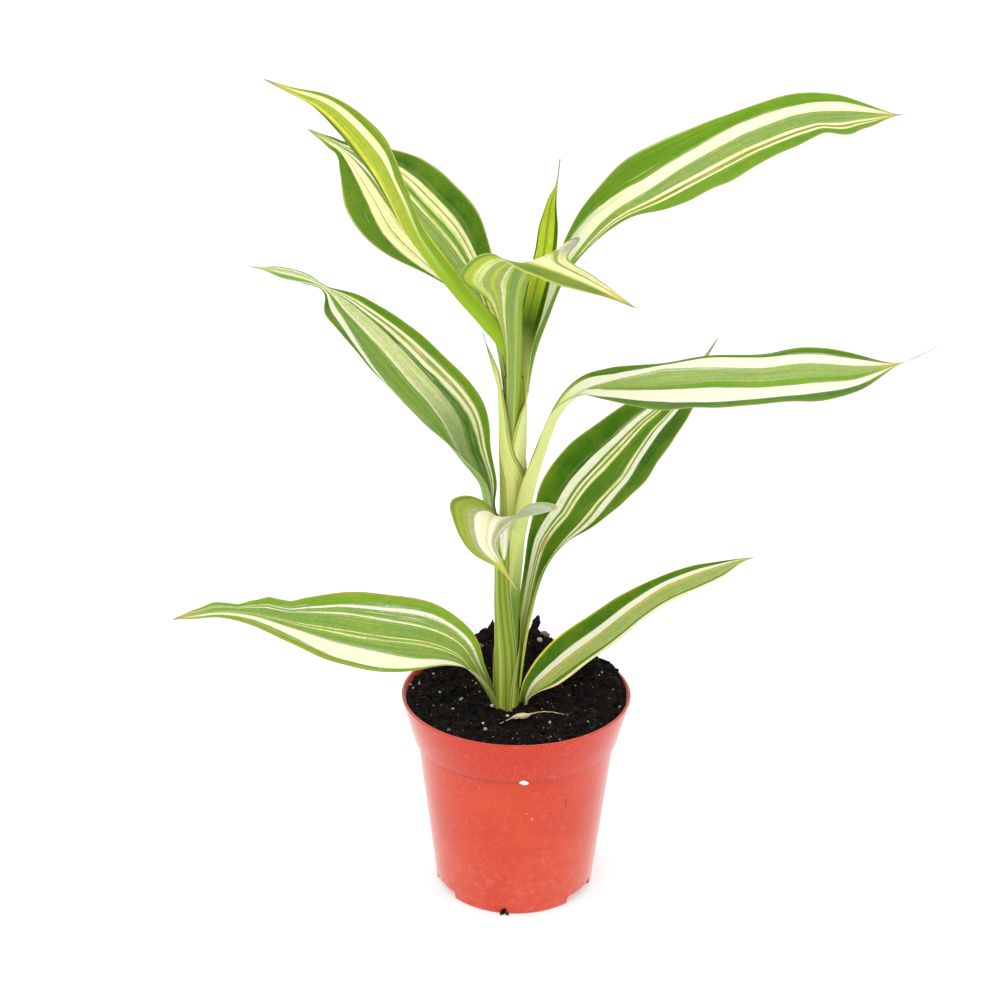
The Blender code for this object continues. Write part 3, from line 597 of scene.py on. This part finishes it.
def make_sheath(name, seed, bands, edges, stations, top=None, node=None):
    """A sheath round the stem. Each station is a height, the centre's offset in x, the radius, and the
    angles of the left and right margins."""
    table = np.array(stations, float)
    rows, columns = int((table[-1, 0] - table[0, 0]) / 0.8) + 2, 49
    z = np.linspace(table[0, 0], table[-1, 0], rows)
    shift, radius, low, high = (soften(z, table[:, 0], table[:, k])[:, None] for k in (1, 2, 3, 4))
    middle = np.interp(z, AXIS_HEIGHTS, AXIS_X)[:, None] + shift
    share = np.linspace(-1, 1, columns)
    angle = np.radians(low + (high - low) * (share + 1) / 2)
    reach = radius + 0.05 * np.sin(angle * 9 + seed)
    height = np.repeat(z[:, None], columns, 1)
    grid = np.stack([middle + reach * np.cos(angle), STEM_Y + reach * np.sin(angle), height], -1)
    thick = 0.30 * (1 - 0.6 * np.abs(share) ** 6)[None, :] * np.ones((rows, 1))
    points, faces = thick_sheet(grid, thick)
    values = {"across": np.tile(share, 2 * rows), "along": np.tile(height.ravel(), 2)}
    look = sheath_material(name + "_look", bands, edges, seed, top)
    settle(put_mesh(name, points, faces, look, values), node)


make_sheath("stem_core", 1, "nmnmn", [-40, -10, 20, 50], node="stem",
    stations=[(z, 0, r, -149, 209.5) for z, r in
              ((70, 4.2), (100, 4.2), (130, 4.1), (160, 4.3), (190, 4.4), (206, 4.2), (214, 3.4))])
make_sheath("sheath_small_front", 2, "nmmmkmnmnmn", [-50, -20, 10, 18, 30, 42, 50, 68, 80, 90],
    stations=[(70, 0, 4.8, -262, -24), (98, 0, 4.75, -262, -30), (104, 0, 4.7, -262, -34),
      (108.5, 0, 4.7, -262, -40), (118.5, 0, 4.75, -260, -59), (124, 0, 4.9, -258, -66),
      (132, 0, 5.1, -255, -79), (140, 0, 5.35, -250, -86), (150, 0.1, 5.6, -240, -90),
      (157, 0.3, 5.75, -220, -95)])
make_sheath("sheath_middle", 3, "ogmgnmk", [-97, -60, -30, 0, 30, 60], top=("s", 126, 164),
    stations=[(96, 0, 4.45, -150, 60), (120, 0, 4.5, -150, 70), (134, 0.05, 4.9, -155, 80),
      (144, 0.15, 5.2, -140, 88), (150, 0.2, 5.35, -130, 90), (156, 0.25, 5.4, -105, 90),
      (161.8, 0.3, 5.4, -83, 85), (165.7, 0.3, 5.4, -76, 80), (169, 0.3, 5.4, -61, 70),
      (176, 0.3, 5.2, -32, 50), (182, 0.2, 5.0, -1, 25)])
make_sheath("sheath_rear", 4, "nkmnmgmnkn", [-94, -86, -75, -60, -30, -10, 20, 50, 92],
    stations=[(70, 0, 5.1, -74, 200), (84, 0, 5.1, -72, 200), (90, 0, 5.1, -68, 200),
      (96.5, 0, 5.1, -59, 195), (100.4, 0, 5.1, -46, 185), (104, 0, 5.1, -29, 170), (108, 0.1, 5.1, -17, 150),
      (113, 0.2, 5.1, -4, 125), (118, 0.4, 5.0, 10, 95)])
make_sheath("sheath_left", 5, "nmknm", [-30, 0, 30, 60],
    stations=[(128, 0, 4.4, -240, -150), (136, 0, 5.0, -240, -150), (146, 0, 5.3, -238, -142),
      (152, -0.1, 5.3, -232, -138), (160, -0.4, 5.0, -212, -150)])
make_sheath("sheath_right_cream", 7, "vyhhkhm", [-96, -90, -20, 30, 36, 70],
    stations=[(142, 0.2, 4.0, -125, 150), (156, 0.2, 4.4, -125, 150), (166, 0.2, 4.7, -122, 150),
      (180, 0.1, 4.9, -118, 150), (188, 0, 5.0, -102, 150), (192, 0, 5.0, -91, 150),
      (195.5, 0, 5.0, -83, 148), (201, 0, 5.0, -62, 140), (205.5, 0.1, 5.0, -34, 125),
      (210, 0.3, 5.0, 5, 108), (216, 0.4, 4.9, 50, 75)])
make_sheath("sheath_tip_shell", 8, "mkkssko", [-70, -40, 0, 30, 75, 93], top=("q", 214, 224),
    node="sheath_tip",
    stations=[(142, 0.3, 4.2, -232, 12), (152, 0.4, 4.7, -232, 12), (166, 0.4, 4.85, -232, 8),
      (175, 0.3, 4.95, -230, -8), (179, 0.2, 5.0, -230, -35), (185, 0, 5.15, -230, -77),
      (192, 0, 5.35, -230, -99), (201, 0, 5.5, -228, -114), (210, -0.3, 5.6, -222, -131),
      (217, -3.0, 4.8, -208, -115), (223.5, -6.1, 3.4, -200, -125), (230.5, -10.0, 1.4, -186, -170)])

# Pot


def wall_radius(z):
    """Outer radius of the pot's wall at a height."""
    foot, top, height = BASE_RADIUS, BODY_TOP_RADIUS, COLLAR_FOOT
    if z > COLLAR_FOOT:
        foot, top, height, z = COLLAR_FOOT_RADIUS, RIM_RADIUS, POT_HEIGHT - COLLAR_FOOT, z - COLLAR_FOOT
    return foot + (top - foot) * z / height


def pot_material():
    """Thin satin plastic, a little scuffed and dusty, with the grain of its mould."""
    m = Nodes("pot_look")
    where = m.where()
    height = m.add("SeparateXYZ", {0: where}, out=2)
    broad, dust = m.noise(where, 38.0, 4.0), m.noise(where, 300.0, 5.0, 0.7)
    grain, specks = m.noise(where, 1500.0, 2.0), m.noise(where, 620.0, 1.0)
    rings = m.noise(m.add("Mapping", {"Vector": where, "Scale": (60.0, 60.0, 900.0)}), 1.0)
    lower = m.times(m.spread(height, 0.0, 0.045, 0.35, 0.0), m.spread(dust, 0.35, 0.6))
    # painted shade: a thin dark band in the corner at the collar's foot
    collar_corner_shade = m.times(m.spread(height, 0.0627, 0.0635), m.spread(height, 0.0641, 0.0648, 1.0, 0.0))
    nick = m.spot(where, (19.2, -32.3, 50.7), (0.35, 2.0, 3.0))
    scuffs = [m.spot(where, (4.2, -37.0, 48.6), (0.9, 2.0, 0.35), 0.6),
              m.spot(where, (6.2, -36.4, 46.0), (0.7, 2.0, 0.9), 0.6)]
    colour = m.layers(
        (0.560, 0.026, 0.005),
        (m.spread(broad, 0.3, 0.7), (0.640, 0.056, 0.018)),
        # painted shade: a darker red laid over the collar, from 60 mm up
        (m.spread(height, 0.060, 0.068, 0.0, 0.6), (0.540, 0.012, 0.002)),
        (m.spread(grain, 0.35, 0.65, 0.0, 0.5), (0.670, 0.090, 0.042)),
        (m.spread(dust, 0.58, 0.75, 0.0, 0.30), (0.80, 0.30, 0.20)),
        (m.spread(specks, 0.74, 0.78, 0.0, 0.5), (0.20, 0.03, 0.02)),
        (lower, (0.74, 0.16, 0.10)),
        # painted shade in the corner at the collar's foot
        (m.times(collar_corner_shade, 0.55), (0.25, 0.02, 0.015)),
        (m.times(nick, 0.75), (0.16, 0.015, 0.01)),
        *((m.times(scuff, 0.45), (0.85, 0.36, 0.25)) for scuff in scuffs))
    bumps = m.plus(m.times(grain, 0.5), m.times(rings, 0.5))
    m.surface(Base_Color=colour, Roughness=m.spread(dust, 0.3, 0.7, 0.34, 0.50))
    m.surface(Normal=m.bump(bumps, 0.35, 0.00012), Specular_IOR_Level=0.05)
    m.surface(Coat_Weight=1.0, Coat_Roughness=0.30, Coat_IOR=1.30)
    m.surface(Sheen_Weight=0.45, Sheen_Roughness=0.35, Subsurface_Weight=0.05, Subsurface_Scale=0.0015)
    return m.material


def rounded(profile, rounds):
    """A (radius, height) outline with each corner cut back by an arc of the given size."""
    out = []
    for k, (point, size) in enumerate(zip(profile, rounds)):
        p = np.array(point, float)
        if not size or k in (0, len(profile) - 1):
            out.append(p)
            continue
        a, b = np.array(profile[k - 1], float), np.array(profile[k + 1], float)
        u, v = unit(a - p), unit(b - p)
        for f in np.linspace(0, 1, 6):
            out.append(p + size * ((1 - f) ** 2 * u + f ** 2 * v))
    return np.array(out)


def lathe(profile, steps):
    """Points and faces of an outline turned about the pot's axis."""
    turns = np.linspace(0, 2 * math.pi, steps, endpoint=False)
    points = [(r * math.cos(a), r * math.sin(a), z) for a in turns for r, z in profile]
    ids = np.arange(len(points)).reshape(steps, -1)
    return points, quads(np.vstack([ids, ids[:1]]))


def make_pot():
    # corners of the outline and their rounding, from the middle of the floor inside to that of the base
    inside = ((POT_FLOOR, 1.0), (COLLAR_FOOT - 1, 0.8), (COLLAR_FOOT + 0.4, 0.5))
    corners = [((0, POT_FLOOR), 0)] + [((wall_radius(z) - WALL, z), size) for z, size in inside]
    corners += [((RIM_RADIUS - WALL - 0.2, POT_HEIGHT), 0.42), ((RIM_RADIUS, POT_HEIGHT), 0.5),
                ((COLLAR_FOOT_RADIUS, COLLAR_FOOT), 0.22),
                ((BODY_TOP_RADIUS - 0.15, COLLAR_FOOT - 0.1), 0.35), ((BASE_RADIUS, 0), 0.9), ((0, 0), 0)]
    corners = rounded(*zip(*corners))
    profile = []
    for p, q in zip(corners, corners[1:]):
        cuts = max(1, int(np.linalg.norm(q - p) / 6))
        profile += [p + (q - p) * k / cuts for k in range(cuts)]
    profile = np.array(profile + [corners[-1]])
    profile[:, 0] = np.maximum(profile[:, 0], 0.0)
    pot = put_mesh("pot_shell", *lathe(profile, 192), pot_material())
    clean(pot, 1e-6)
    for k, angle in enumerate(POCKET_ANGLES):
        cut_pocket(pot, angle, k)
    pot.data.shade_smooth()
    pot.data.set_sharp_from_angle(angle=math.radians(38))
    settle(pot, "pot")


def pocket_block(angle, grow, low, high, inner, outer):
    """A curved block under the pot's edge, as a closed mesh."""
    half, c, s = POCKET_WIDTH / 2 + grow, math.cos(math.radians(angle)), math.sin(math.radians(angle))
    across = [-half + 2 * half * k / 8 for k in range(9)]
    ring = [(math.sqrt(outer ** 2 - y ** 2), y) for y in across] + [(inner, half), (inner, -half)]
    return prism([(x * c - y * s, x * s + y * c) for x, y in ring], low, high)


def drain_hole(angle):
    """A round plug through the roof of a pocket, as a closed mesh."""
    turn, middle = math.radians(angle), (POCKET_INNER + wall_radius(POCKET_HEIGHT) - WALL) / 2
    around = np.linspace(0, 2 * math.pi, 24, endpoint=False)
    x, y = middle * math.cos(turn), middle * math.sin(turn)
    ring = [(x + HOLE_RADIUS * math.cos(a), y + HOLE_RADIUS * math.sin(a)) for a in around]
    return prism(ring, HOLE_FOOT, HOLE_TOP)


def boolean(target, points, faces, operation, name):
    tool = put_mesh(name, points, faces, target.data.materials[0], smooth_faces=False)
    clean(tool)
    step = target.modifiers.new(name, "BOOLEAN")
    step.operation, step.object, step.solver = operation, tool, "EXACT"
    bpy.context.view_layer.update()
    mesh = bpy.data.meshes.new_from_object(target.evaluated_get(bpy.context.evaluated_depsgraph_get()))
    target.modifiers.remove(step)
    target.data = mesh
    bpy.data.objects.remove(tool, do_unlink=True)


def cut_pocket(pot, angle, k):
    roof = pocket_block(angle, 1.0, 1.0, POCKET_HEIGHT + 1, POCKET_INNER - 1, wall_radius(3.0) - 0.5)
    space = pocket_block(angle, 0.0, -1.0, POCKET_HEIGHT, POCKET_INNER, 36.0)
    boolean(pot, *roof, "UNION", f"pocket_roof_{k}")
    boolean(pot, *space, "DIFFERENCE", f"pocket_{k}")
    boolean(pot, *drain_hole(angle), "DIFFERENCE", f"drain_{k}")


make_pot()

# Soil

# Larger grains: place on the soil and size. A size below 0 is a tan grain.
PERLITE = [
    (-9.4, -12.9, 1.25), (-21.6, -3.7, 1.0), (-29.9, 0.4, 0.8), (-28.8, -9.7, 0.9), (-24.5, -11.5, 0.7),
    (-15.9, 7.5, 0.9), (-42.0, 8.8, 0.7), (-40.7, 4.5, 0.7), (-3.4, -18.2, 0.9), (-2.6, -12.8, 0.7),
    (-12.8, -26.2, 0.8), (-11.8, -28.5, 0.9), (-15.0, -28.0, 0.7), (23.0, -18.6, -0.9), (27.3, -20.3, 0.8),
    (19.3, -15.4, -0.8), (12.8, -20.6, 0.8), (19.2, -23.2, -0.8), (20.7, -2.2, -0.8), (26.1, 6.4, -0.9),
    (-13.6, 21.5, -1.3), (9.6, 23.8, 1.3), (9.0, -31.0, -0.6), (12.0, -27.5, 0.6), (-1.0, -34.5, -1.0),
    (-25.5, -29.5, -0.9), (17.3, 5.8, -0.6), (22.5, 6.3, -0.6), (36.0, -4.0, -0.6), (33.0, 10.0, 0.5),
    (-35.0, -12.0, 0.5), (-33.0, 14.0, 0.6), (-20.0, 15.0, -0.7), (3.0, 36.0, 0.7), (-28.0, 27.0, 0.6),
]


def hill(x, y, middle, spread):
    return np.exp(-(((x - middle[0]) / spread[0]) ** 2 + ((y - middle[1]) / spread[1]) ** 2) / 2)


def soil_height(x, y):
    """Top of the peat without its crumbs, heaped behind the stem and over the rim at the right."""
    r = np.hypot(x, y)
    heap = 3.0 * ease(y, -6, 26) + 9.5 * hill(x, y, (-1, 27), (17, 9))
    heap = heap + 2.4 * hill(x, y, (-4, -13), (7, 3.5))
    heap = heap + 0.5 * np.sin(0.45 * x + 1.3) * np.sin(0.38 * y + 0.4) + 0.25 * np.sin(1.1 * x - 0.6 * y)
    heap = heap * (1.0 - ease(r, 35.0, 43.0))
    return SOIL_LEVEL + heap + 4.6 * hill(x, y, (38, 19), (9, 11))


def lattice_noise(x, y, z, seed):
    """Smooth noise from -1 to 1 on arrays, from hashed lattice points."""
    def corner(i, j, k):
        h = (i * 374761393 + j * 668265263 + k * 2147483647 + seed * 1274126177) & 0xFFFFFFFF
        h = ((h ^ (h >> 13)) * 1274126177) & 0xFFFFFFFF
        return ((h ^ (h >> 16)) & 0xFFFF) / 32767.5 - 1.0
    x, y, z = np.broadcast_arrays(x, y, z)
    i, j, k = (np.floor(v).astype(np.int64) for v in (x, y, z))
    u, v, w = (f * f * (3 - 2 * f) for f in (x - i, y - j, z - k))
    total = 0
    for a, b, c in np.ndindex(2, 2, 2):
        weight = (u if a else 1 - u) * (v if b else 1 - v) * (w if c else 1 - w)
        total = total + weight * corner(i + a, j + b, k + c)
    return total


def soil_material(name, dark, light, rough):
    """Peat: near black lumps with brown threads and a reddish tinge where it is dry."""
    m = Nodes(name)
    where = m.where()
    lumps, dry = m.noise(where, 450.0, 5.0, 0.65), m.noise(where, 140.0)
    drawn = m.add("Mapping", {"Vector": where, "Scale": (500.0, 2600.0, 900.0), "Rotation": (0.3, 0.2, 0.6)})
    colour = m.layers(
        dark,
        (m.spread(lumps, 0.40, 0.75), light),
        (m.spread(m.noise(drawn, 1.0, 2.0), 0.64, 0.72, 0.0, 0.4), (0.055, 0.020, 0.012)),
        (m.spread(dry, 0.60, 0.72, 0.0, 0.35), (0.050, 0.016, 0.012)))
    m.surface(Base_Color=colour, Roughness=rough, Normal=m.bump(lumps, 0.8, 0.0008), Specular_IOR_Level=0.12)
    return m.material


def speck_material(name, base, pits):
    """Porous grain, darker in its pits."""
    m = Nodes(name)
    pores = m.noise(m.where(), 1500.0, 4.0, 0.6)
    m.surface(Base_Color=m.mix(m.spread(pores, 0.35, 0.7), pits, base))
    m.surface(Roughness=m.spread(pores, 0.3, 0.7, 0.6, 0.85), Normal=m.bump(pores, 0.6, 0.0003))
    return m.material


def plain_material(name, colour, rough):
    """Dry plant matter of one clouded colour."""
    m = Nodes(name)
    cloud = m.noise(m.where(), 700.0, 4.0)
    darker = tuple(0.5 * c for c in colour)
    m.surface(Base_Color=m.mix(m.spread(cloud, 0.3, 0.7), darker, colour), Roughness=rough)
    m.surface(Normal=m.bump(cloud, 0.4, 0.0002), Specular_IOR_Level=0.3)
    return m.material


def stone(rng, place, size, squash, subdivisions=1):
    """An angular crumb: a ball pushed in and out. Returns points and faces."""
    points, faces = ball(subdivisions)
    reach = 1 + 0.35 * rng.uniform(-1, 1, len(points))
    points = points * reach[:, None] * np.array(squash)
    turn, _ = np.linalg.qr(rng.normal(size=(3, 3)))
    return points @ turn.T * size + np.array(place), faces


def gather(shapes):
    points, faces, start = [], [], 0
    for p, f in shapes:
        points.append(p)
        faces += [[i + start for i in face] for face in f]
        start += len(p)
    return np.concatenate(points), faces


def soil_top(x, y):
    """The peat as it is seen: its height with clods, crumbs and pits."""
    r = np.hypot(x, y)
    clods = np.abs(lattice_noise(x / 4.5, y / 4.5, 1.0, 5))
    rough = 0.9 * lattice_noise(x / 2.6, y / 2.6, 3.0, 1) + 0.6 * lattice_noise(x / 1.1, y / 1.1, 7.0, 2)
    rough = rough + 1.1 * clods - 0.4 + 0.3 * lattice_noise(x / 0.5, y / 0.5, 2.0, 3)
    extra = 2.2 * hill(x, y, (-2, 27), (16, 8))
    return soil_height(x, y) + extra * (1 - ease(r, 35, 43)) + rough * (1 - 0.6 * ease(r, 40, 43.3))


def make_soil():
    """The peat, down to the pot's floor: rings of its top, then its side and its underside."""
    rings, steps = 120, 300
    r = SOIL_EDGE * (np.arange(rings + 1) / rings)[:, None]
    a = np.linspace(0, 2 * math.pi, steps, endpoint=False)[None, :]
    x, y = r * np.cos(a), r * np.sin(a)
    z = soil_top(x, y)
    z[0] = z[0].mean()
    wall = [(wall_radius(h) - SOIL_INSET, h) for h in (72.0, 60.0, SOIL_FOOT)] + [(0.0, SOIL_FOOT)]
    x = np.concatenate([x] + [rr * np.cos(a) for rr, _ in wall])
    y = np.concatenate([y] + [rr * np.sin(a) for rr, _ in wall])
    z = np.concatenate([z] + [np.full((1, steps), h) for _, h in wall])
    points = np.stack([x, y, z], -1).reshape(-1, 3)
    ids = np.arange(len(points)).reshape(-1, steps)
    faces = [(i, n, m, j) for i, j, m, n in quads(np.hstack([ids, ids[:, :1]]))]
    look = soil_material("peat_look", (0.0035, 0.0028, 0.0025), (0.0140, 0.0090, 0.0075), 0.8)
    soil = put_mesh("peat", points, faces, look)
    clean(soil, 1e-7, outward=False)
    settle(soil, "soil")
    scatter_crumbs(look)


def random_place(rng, reach):
    """How far out, x and y of a place within reach of the pot's axis."""
    far, around = reach * math.sqrt(rng.uniform()), rng.uniform(0, 2 * math.pi)
    return far, far * math.cos(around), far * math.sin(around)


def scatter_crumbs(peat):
    rng = np.random.default_rng(7)
    crumbs, white, tan = [], [], []

    def lay(pile, x, y, size, sunk, squash):
        pile.append(stone(rng, (x, y, float(soil_top(x, y)) + sunk * size), size, squash))

    while len(crumbs) < CRUMBS:
        far, x, y = random_place(rng, 42.8)
        size = 0.3 + 1.1 * rng.uniform() ** 3 + 0.9 * float(hill(x, y, (-1, 29), (14, 6))) * rng.uniform()
        if far + size > 43.8 and y < 8:
            continue
        lay(crumbs, x, y, size, 0.25, (1, rng.uniform(0.5, 1), rng.uniform(0.4, 0.9)))
    for x, y, size in PERLITE:
        lay(white if size > 0 else tan, x, y, abs(size), math.copysign(0.35, size), (1, 0.8, 0.75))
    for _ in range(SMALL_GRAINS):
        _, x, y = random_place(rng, 41.5)
        size = 0.18 + 0.42 * rng.uniform() ** 2.5
        lay(white if rng.uniform() < 0.45 else tan, x, y, size, 0.3, (1, 0.8, 0.8))
    perlite = speck_material("perlite_look", (0.72, 0.72, 0.66), (0.36, 0.33, 0.27))
    grit = speck_material("grit_look", (0.34, 0.22, 0.15), (0.10, 0.06, 0.045))
    fibres = [fibre(rng) for _ in range(FIBRES)]
    brown = plain_material("fibre_look", (0.10, 0.045, 0.025), 0.7)
    piles = ((crumbs, peat), (white, perlite), (tan, grit), (fibres, brown))
    for name, (shapes, look) in zip(("peat_crumbs", "perlite", "grit", "peat_fibres"), piles):
        settle(put_mesh(name, *gather(shapes), look, smooth_faces=name != "peat_crumbs"))


def tube(route, radii, sides):
    """Points and faces of a closed tube along a route."""
    route, radii = np.asarray(route, float), np.asarray(radii, float)
    ahead = unit(np.gradient(route, axis=0))
    beside = unit(np.cross(ahead, [0.3, 0.2, 0.93]))
    above = np.cross(ahead, beside)
    turn = np.linspace(0, 2 * math.pi, sides, endpoint=False)[None, :, None]
    ring = np.cos(turn) * beside[:, None] + np.sin(turn) * above[:, None]
    points = (route[:, None] + radii[:, None, None] * ring).reshape(-1, 3)
    ids = np.arange(len(points)).reshape(-1, sides)
    return points, quads(np.hstack([ids, ids[:, :1]])) + [ids[0, ::-1], ids[-1]]


def fibre(rng):
    """One short root hair lying on the peat."""
    _, x, y = random_place(rng, 40)
    way, length, bend = rng.uniform(0, 2 * math.pi), rng.uniform(2.5, 7), rng.uniform(-0.5, 0.5)
    route = []
    for k in range(7):
        route.append((x, y, float(soil_top(x, y)) + 0.25 + 0.25 * math.sin(k)))
        if math.hypot(x, y) < 41:
            x, y = x + length / 6 * math.cos(way), y + length / 6 * math.sin(way)
        way += bend
    route = np.array(route)
    route[:, 2] = np.convolve(np.pad(route[:, 2], 1, "edge"), [0.25, 0.5, 0.25], "valid") + 0.15
    route = route + np.linspace(0, 0.01, 7)[:, None]
    return tube(route, np.linspace(0.13, 0.06, 7), 4)


def shard(seed, middle, size, lean, taper):
    """A torn piece of bark or root, standing: wide at its foot, with a ragged top."""
    points, faces = ball(4)
    x, y, z = points.T
    narrow = 1 - taper * ease(z, -0.6, 1.0)
    rough = (1 + 0.28 * lattice_noise(x * 2.2, y * 2.2, z * 2.2, seed)
             + 0.14 * lattice_noise(x * 6, y * 6, z * 6, seed + 1))
    made = np.stack([x * narrow * rough, y * narrow * rough, z * (0.9 + 0.1 * rough)], -1)
    made = made * np.array(size) / 2
    tilt = math.radians(lean)
    turned = np.stack([made[:, 0] * math.cos(tilt) + made[:, 2] * math.sin(tilt), made[:, 1],
                       -made[:, 0] * math.sin(tilt) + made[:, 2] * math.cos(tilt)], -1)
    return turned + np.array(middle), faces


def make_litter():
    """Bark standing in the heap, the dry husk and its stalk in front of the stem, and what lies loose."""
    bark = soil_material("bark_look", (0.006, 0.004, 0.004), (0.030, 0.012, 0.010), 0.75)
    left = ((3, (-13, 27, 92), (11, 5, 9), 8, 0.55), (4, (-9.8, 27, 96.5), (4.2, 3, 8.5), 6, 0.85))
    right = ((6, (7.4, 27, 95), (5.2, 4.4, 9), -4, 0.5), (7, (8.2, 27, 99.2), (3.4, 3, 6.4), 12, 0.35))
    small = ((9, (11.6, 28.5, 93.2), (4.6, 2.6, 2.4), 12, 0.3),)
    tan = plain_material("tan_bark_look", (0.42, 0.27, 0.19), 0.8)
    for side, shards, look in (("left", left, bark), ("right", right, bark), ("tan", small, tan)):
        chip = put_mesh("bark_" + side, *gather([shard(*numbers) for numbers in shards]), look)
        settle(chip, "bark_chip_" + side if look is bark else None)
    # x, y, height over the soil's level, and radius
    stalk = [(-6.2, -25.4, 1.2, 0.1), (-4.2, -23.8, 1.5, 0.14), (-2.4, -22.2, 1.6, 0.2),
             (-1.2, -21.2, 1.6, 0.55), (0.6, -20.6, 1.8, 1.05), (2.6, -20.2, 1.8, 1.15),
             (4.0, -19.8, 1.7, 0.85), (6.2, -18.9, 2.2, 0.22), (10.5, -17.8, 2.4, 0.18),
             (14.5, -17.9, 2.1, 0.16), (18.4, -18.3, 1.5, 0.1)]
    stalk = smooth([(x, y, SOIL_LEVEL + h, r) for x, y, h, r in stalk], np.linspace(0, len(stalk) - 1, 64))
    points, faces = tube(stalk[:, :3], np.maximum(stalk[:, 3], 0.09), 12)
    points = points + 0.12 * lattice_noise(*(points / 0.8).T, 11)[:, None]
    husk = put_mesh("husk", points, faces, plain_material("husk_look", (0.92, 0.70, 0.42), 0.65))
    settle(husk, "dry_stalk")
    hair = [(-23, 24, 100.5), (-20, 25.5, 99.4), (-17, 26.5, 96.5), (-15.2, 27, 92.5)]
    points, faces = tube(smooth(hair, np.linspace(0, 3, 20)), np.linspace(0.10, 0.13, 20), 5)
    pale = plain_material("hair_look", (0.45, 0.33, 0.26), 0.7)
    settle(put_mesh("root_hair", points, faces, pale))
    points, faces = shard(12, (2.9, -40.6, 64.2), (3.2, 0.9, 1.9), 8, 0.1)
    # the fleck's own whiter copy of the grain's colours: partly its own white, partly painted light against
    # the shade it sits in
    white = speck_material("fleck_look", (0.95, 0.95, 0.92), (0.75, 0.73, 0.68))
    settle(put_mesh("wall_fleck", points, faces, white))
    rng = np.random.default_rng(3)
    fallen = [stone(rng, (-4.6, -31.9, 0.8), 1.3, (1.3, 0.7, 0.5), 2),
              stone(rng, (-2.9, -32.0, 0.5), 0.8, (1, 0.7, 0.5), 2)]
    for points, _ in fallen:
        points[:, 2] -= points[:, 2].min()
    settle(put_mesh("fallen_crumb", *gather(fallen), bpy.data.materials["peat_look"]))


make_soil()
make_litter()

# Floor, light, camera


def make_stage():
    mesh = bpy.data.meshes.new("floor")
    mesh.from_pydata([(-9, -9, 0), (9, -9, 0), (9, 9, 0), (-9, 9, 0)], [], [(0, 1, 2, 3)])
    floor = put_object("floor", mesh)
    m = Nodes("floor_look")
    m.surface(Base_Color=(0.80, 0.87, 0.89), Roughness=0.7, Specular_IOR_Level=0.2)
    m.surface(Emission_Color=(1.0, 1.0, 1.0), Emission_Strength=0.28)
    mesh.materials.append(m.material)
    world = bpy.data.worlds.new("studio")
    world.use_nodes = True
    colour, strength = list(world.node_tree.nodes["Background"].inputs)[:2]
    colour.default_value, strength.default_value = (1.0, 1.0, 1.0, 1.0), 1.06
    bpy.context.scene.world = world
    bpy.context.scene.view_settings.view_transform = "Standard"


def area_light(name, place, size, power):
    """A round lamp that faces the middle of the plant."""
    data = bpy.data.lights.new(name, "AREA")
    data.shape, data.size, data.energy = "DISK", size, power
    lamp = put_object(name, data)
    lamp.location = place
    lamp.rotation_euler = (Vector((0, 0, 0.15)) - Vector(place)).to_track_quat("-Z", "Y").to_euler()


def make_camera():
    data = bpy.data.cameras.new("camera")
    data.sensor_width, data.lens = 36.0, 36.0 * 1775 / 1000
    data.clip_start, data.clip_end = 0.05, 50
    camera = put_object("camera", data)
    turn = Matrix.Rotation(math.radians(69.0), 4, "X") @ Matrix.Rotation(math.radians(0.42), 4, "Z")
    camera.matrix_world = Matrix.Translation((-0.0069, -0.6237, 0.4015)) @ turn
    bpy.context.scene.camera = camera


make_stage()
area_light("key", (-0.5, -0.6, 1.1), 0.5, 2.6)
area_light("fill", (0.9, -0.5, 0.6), 0.6, 0.9)
area_light("rear", (0.1, 1.0, 0.9), 0.6, 1.0)
make_camera()
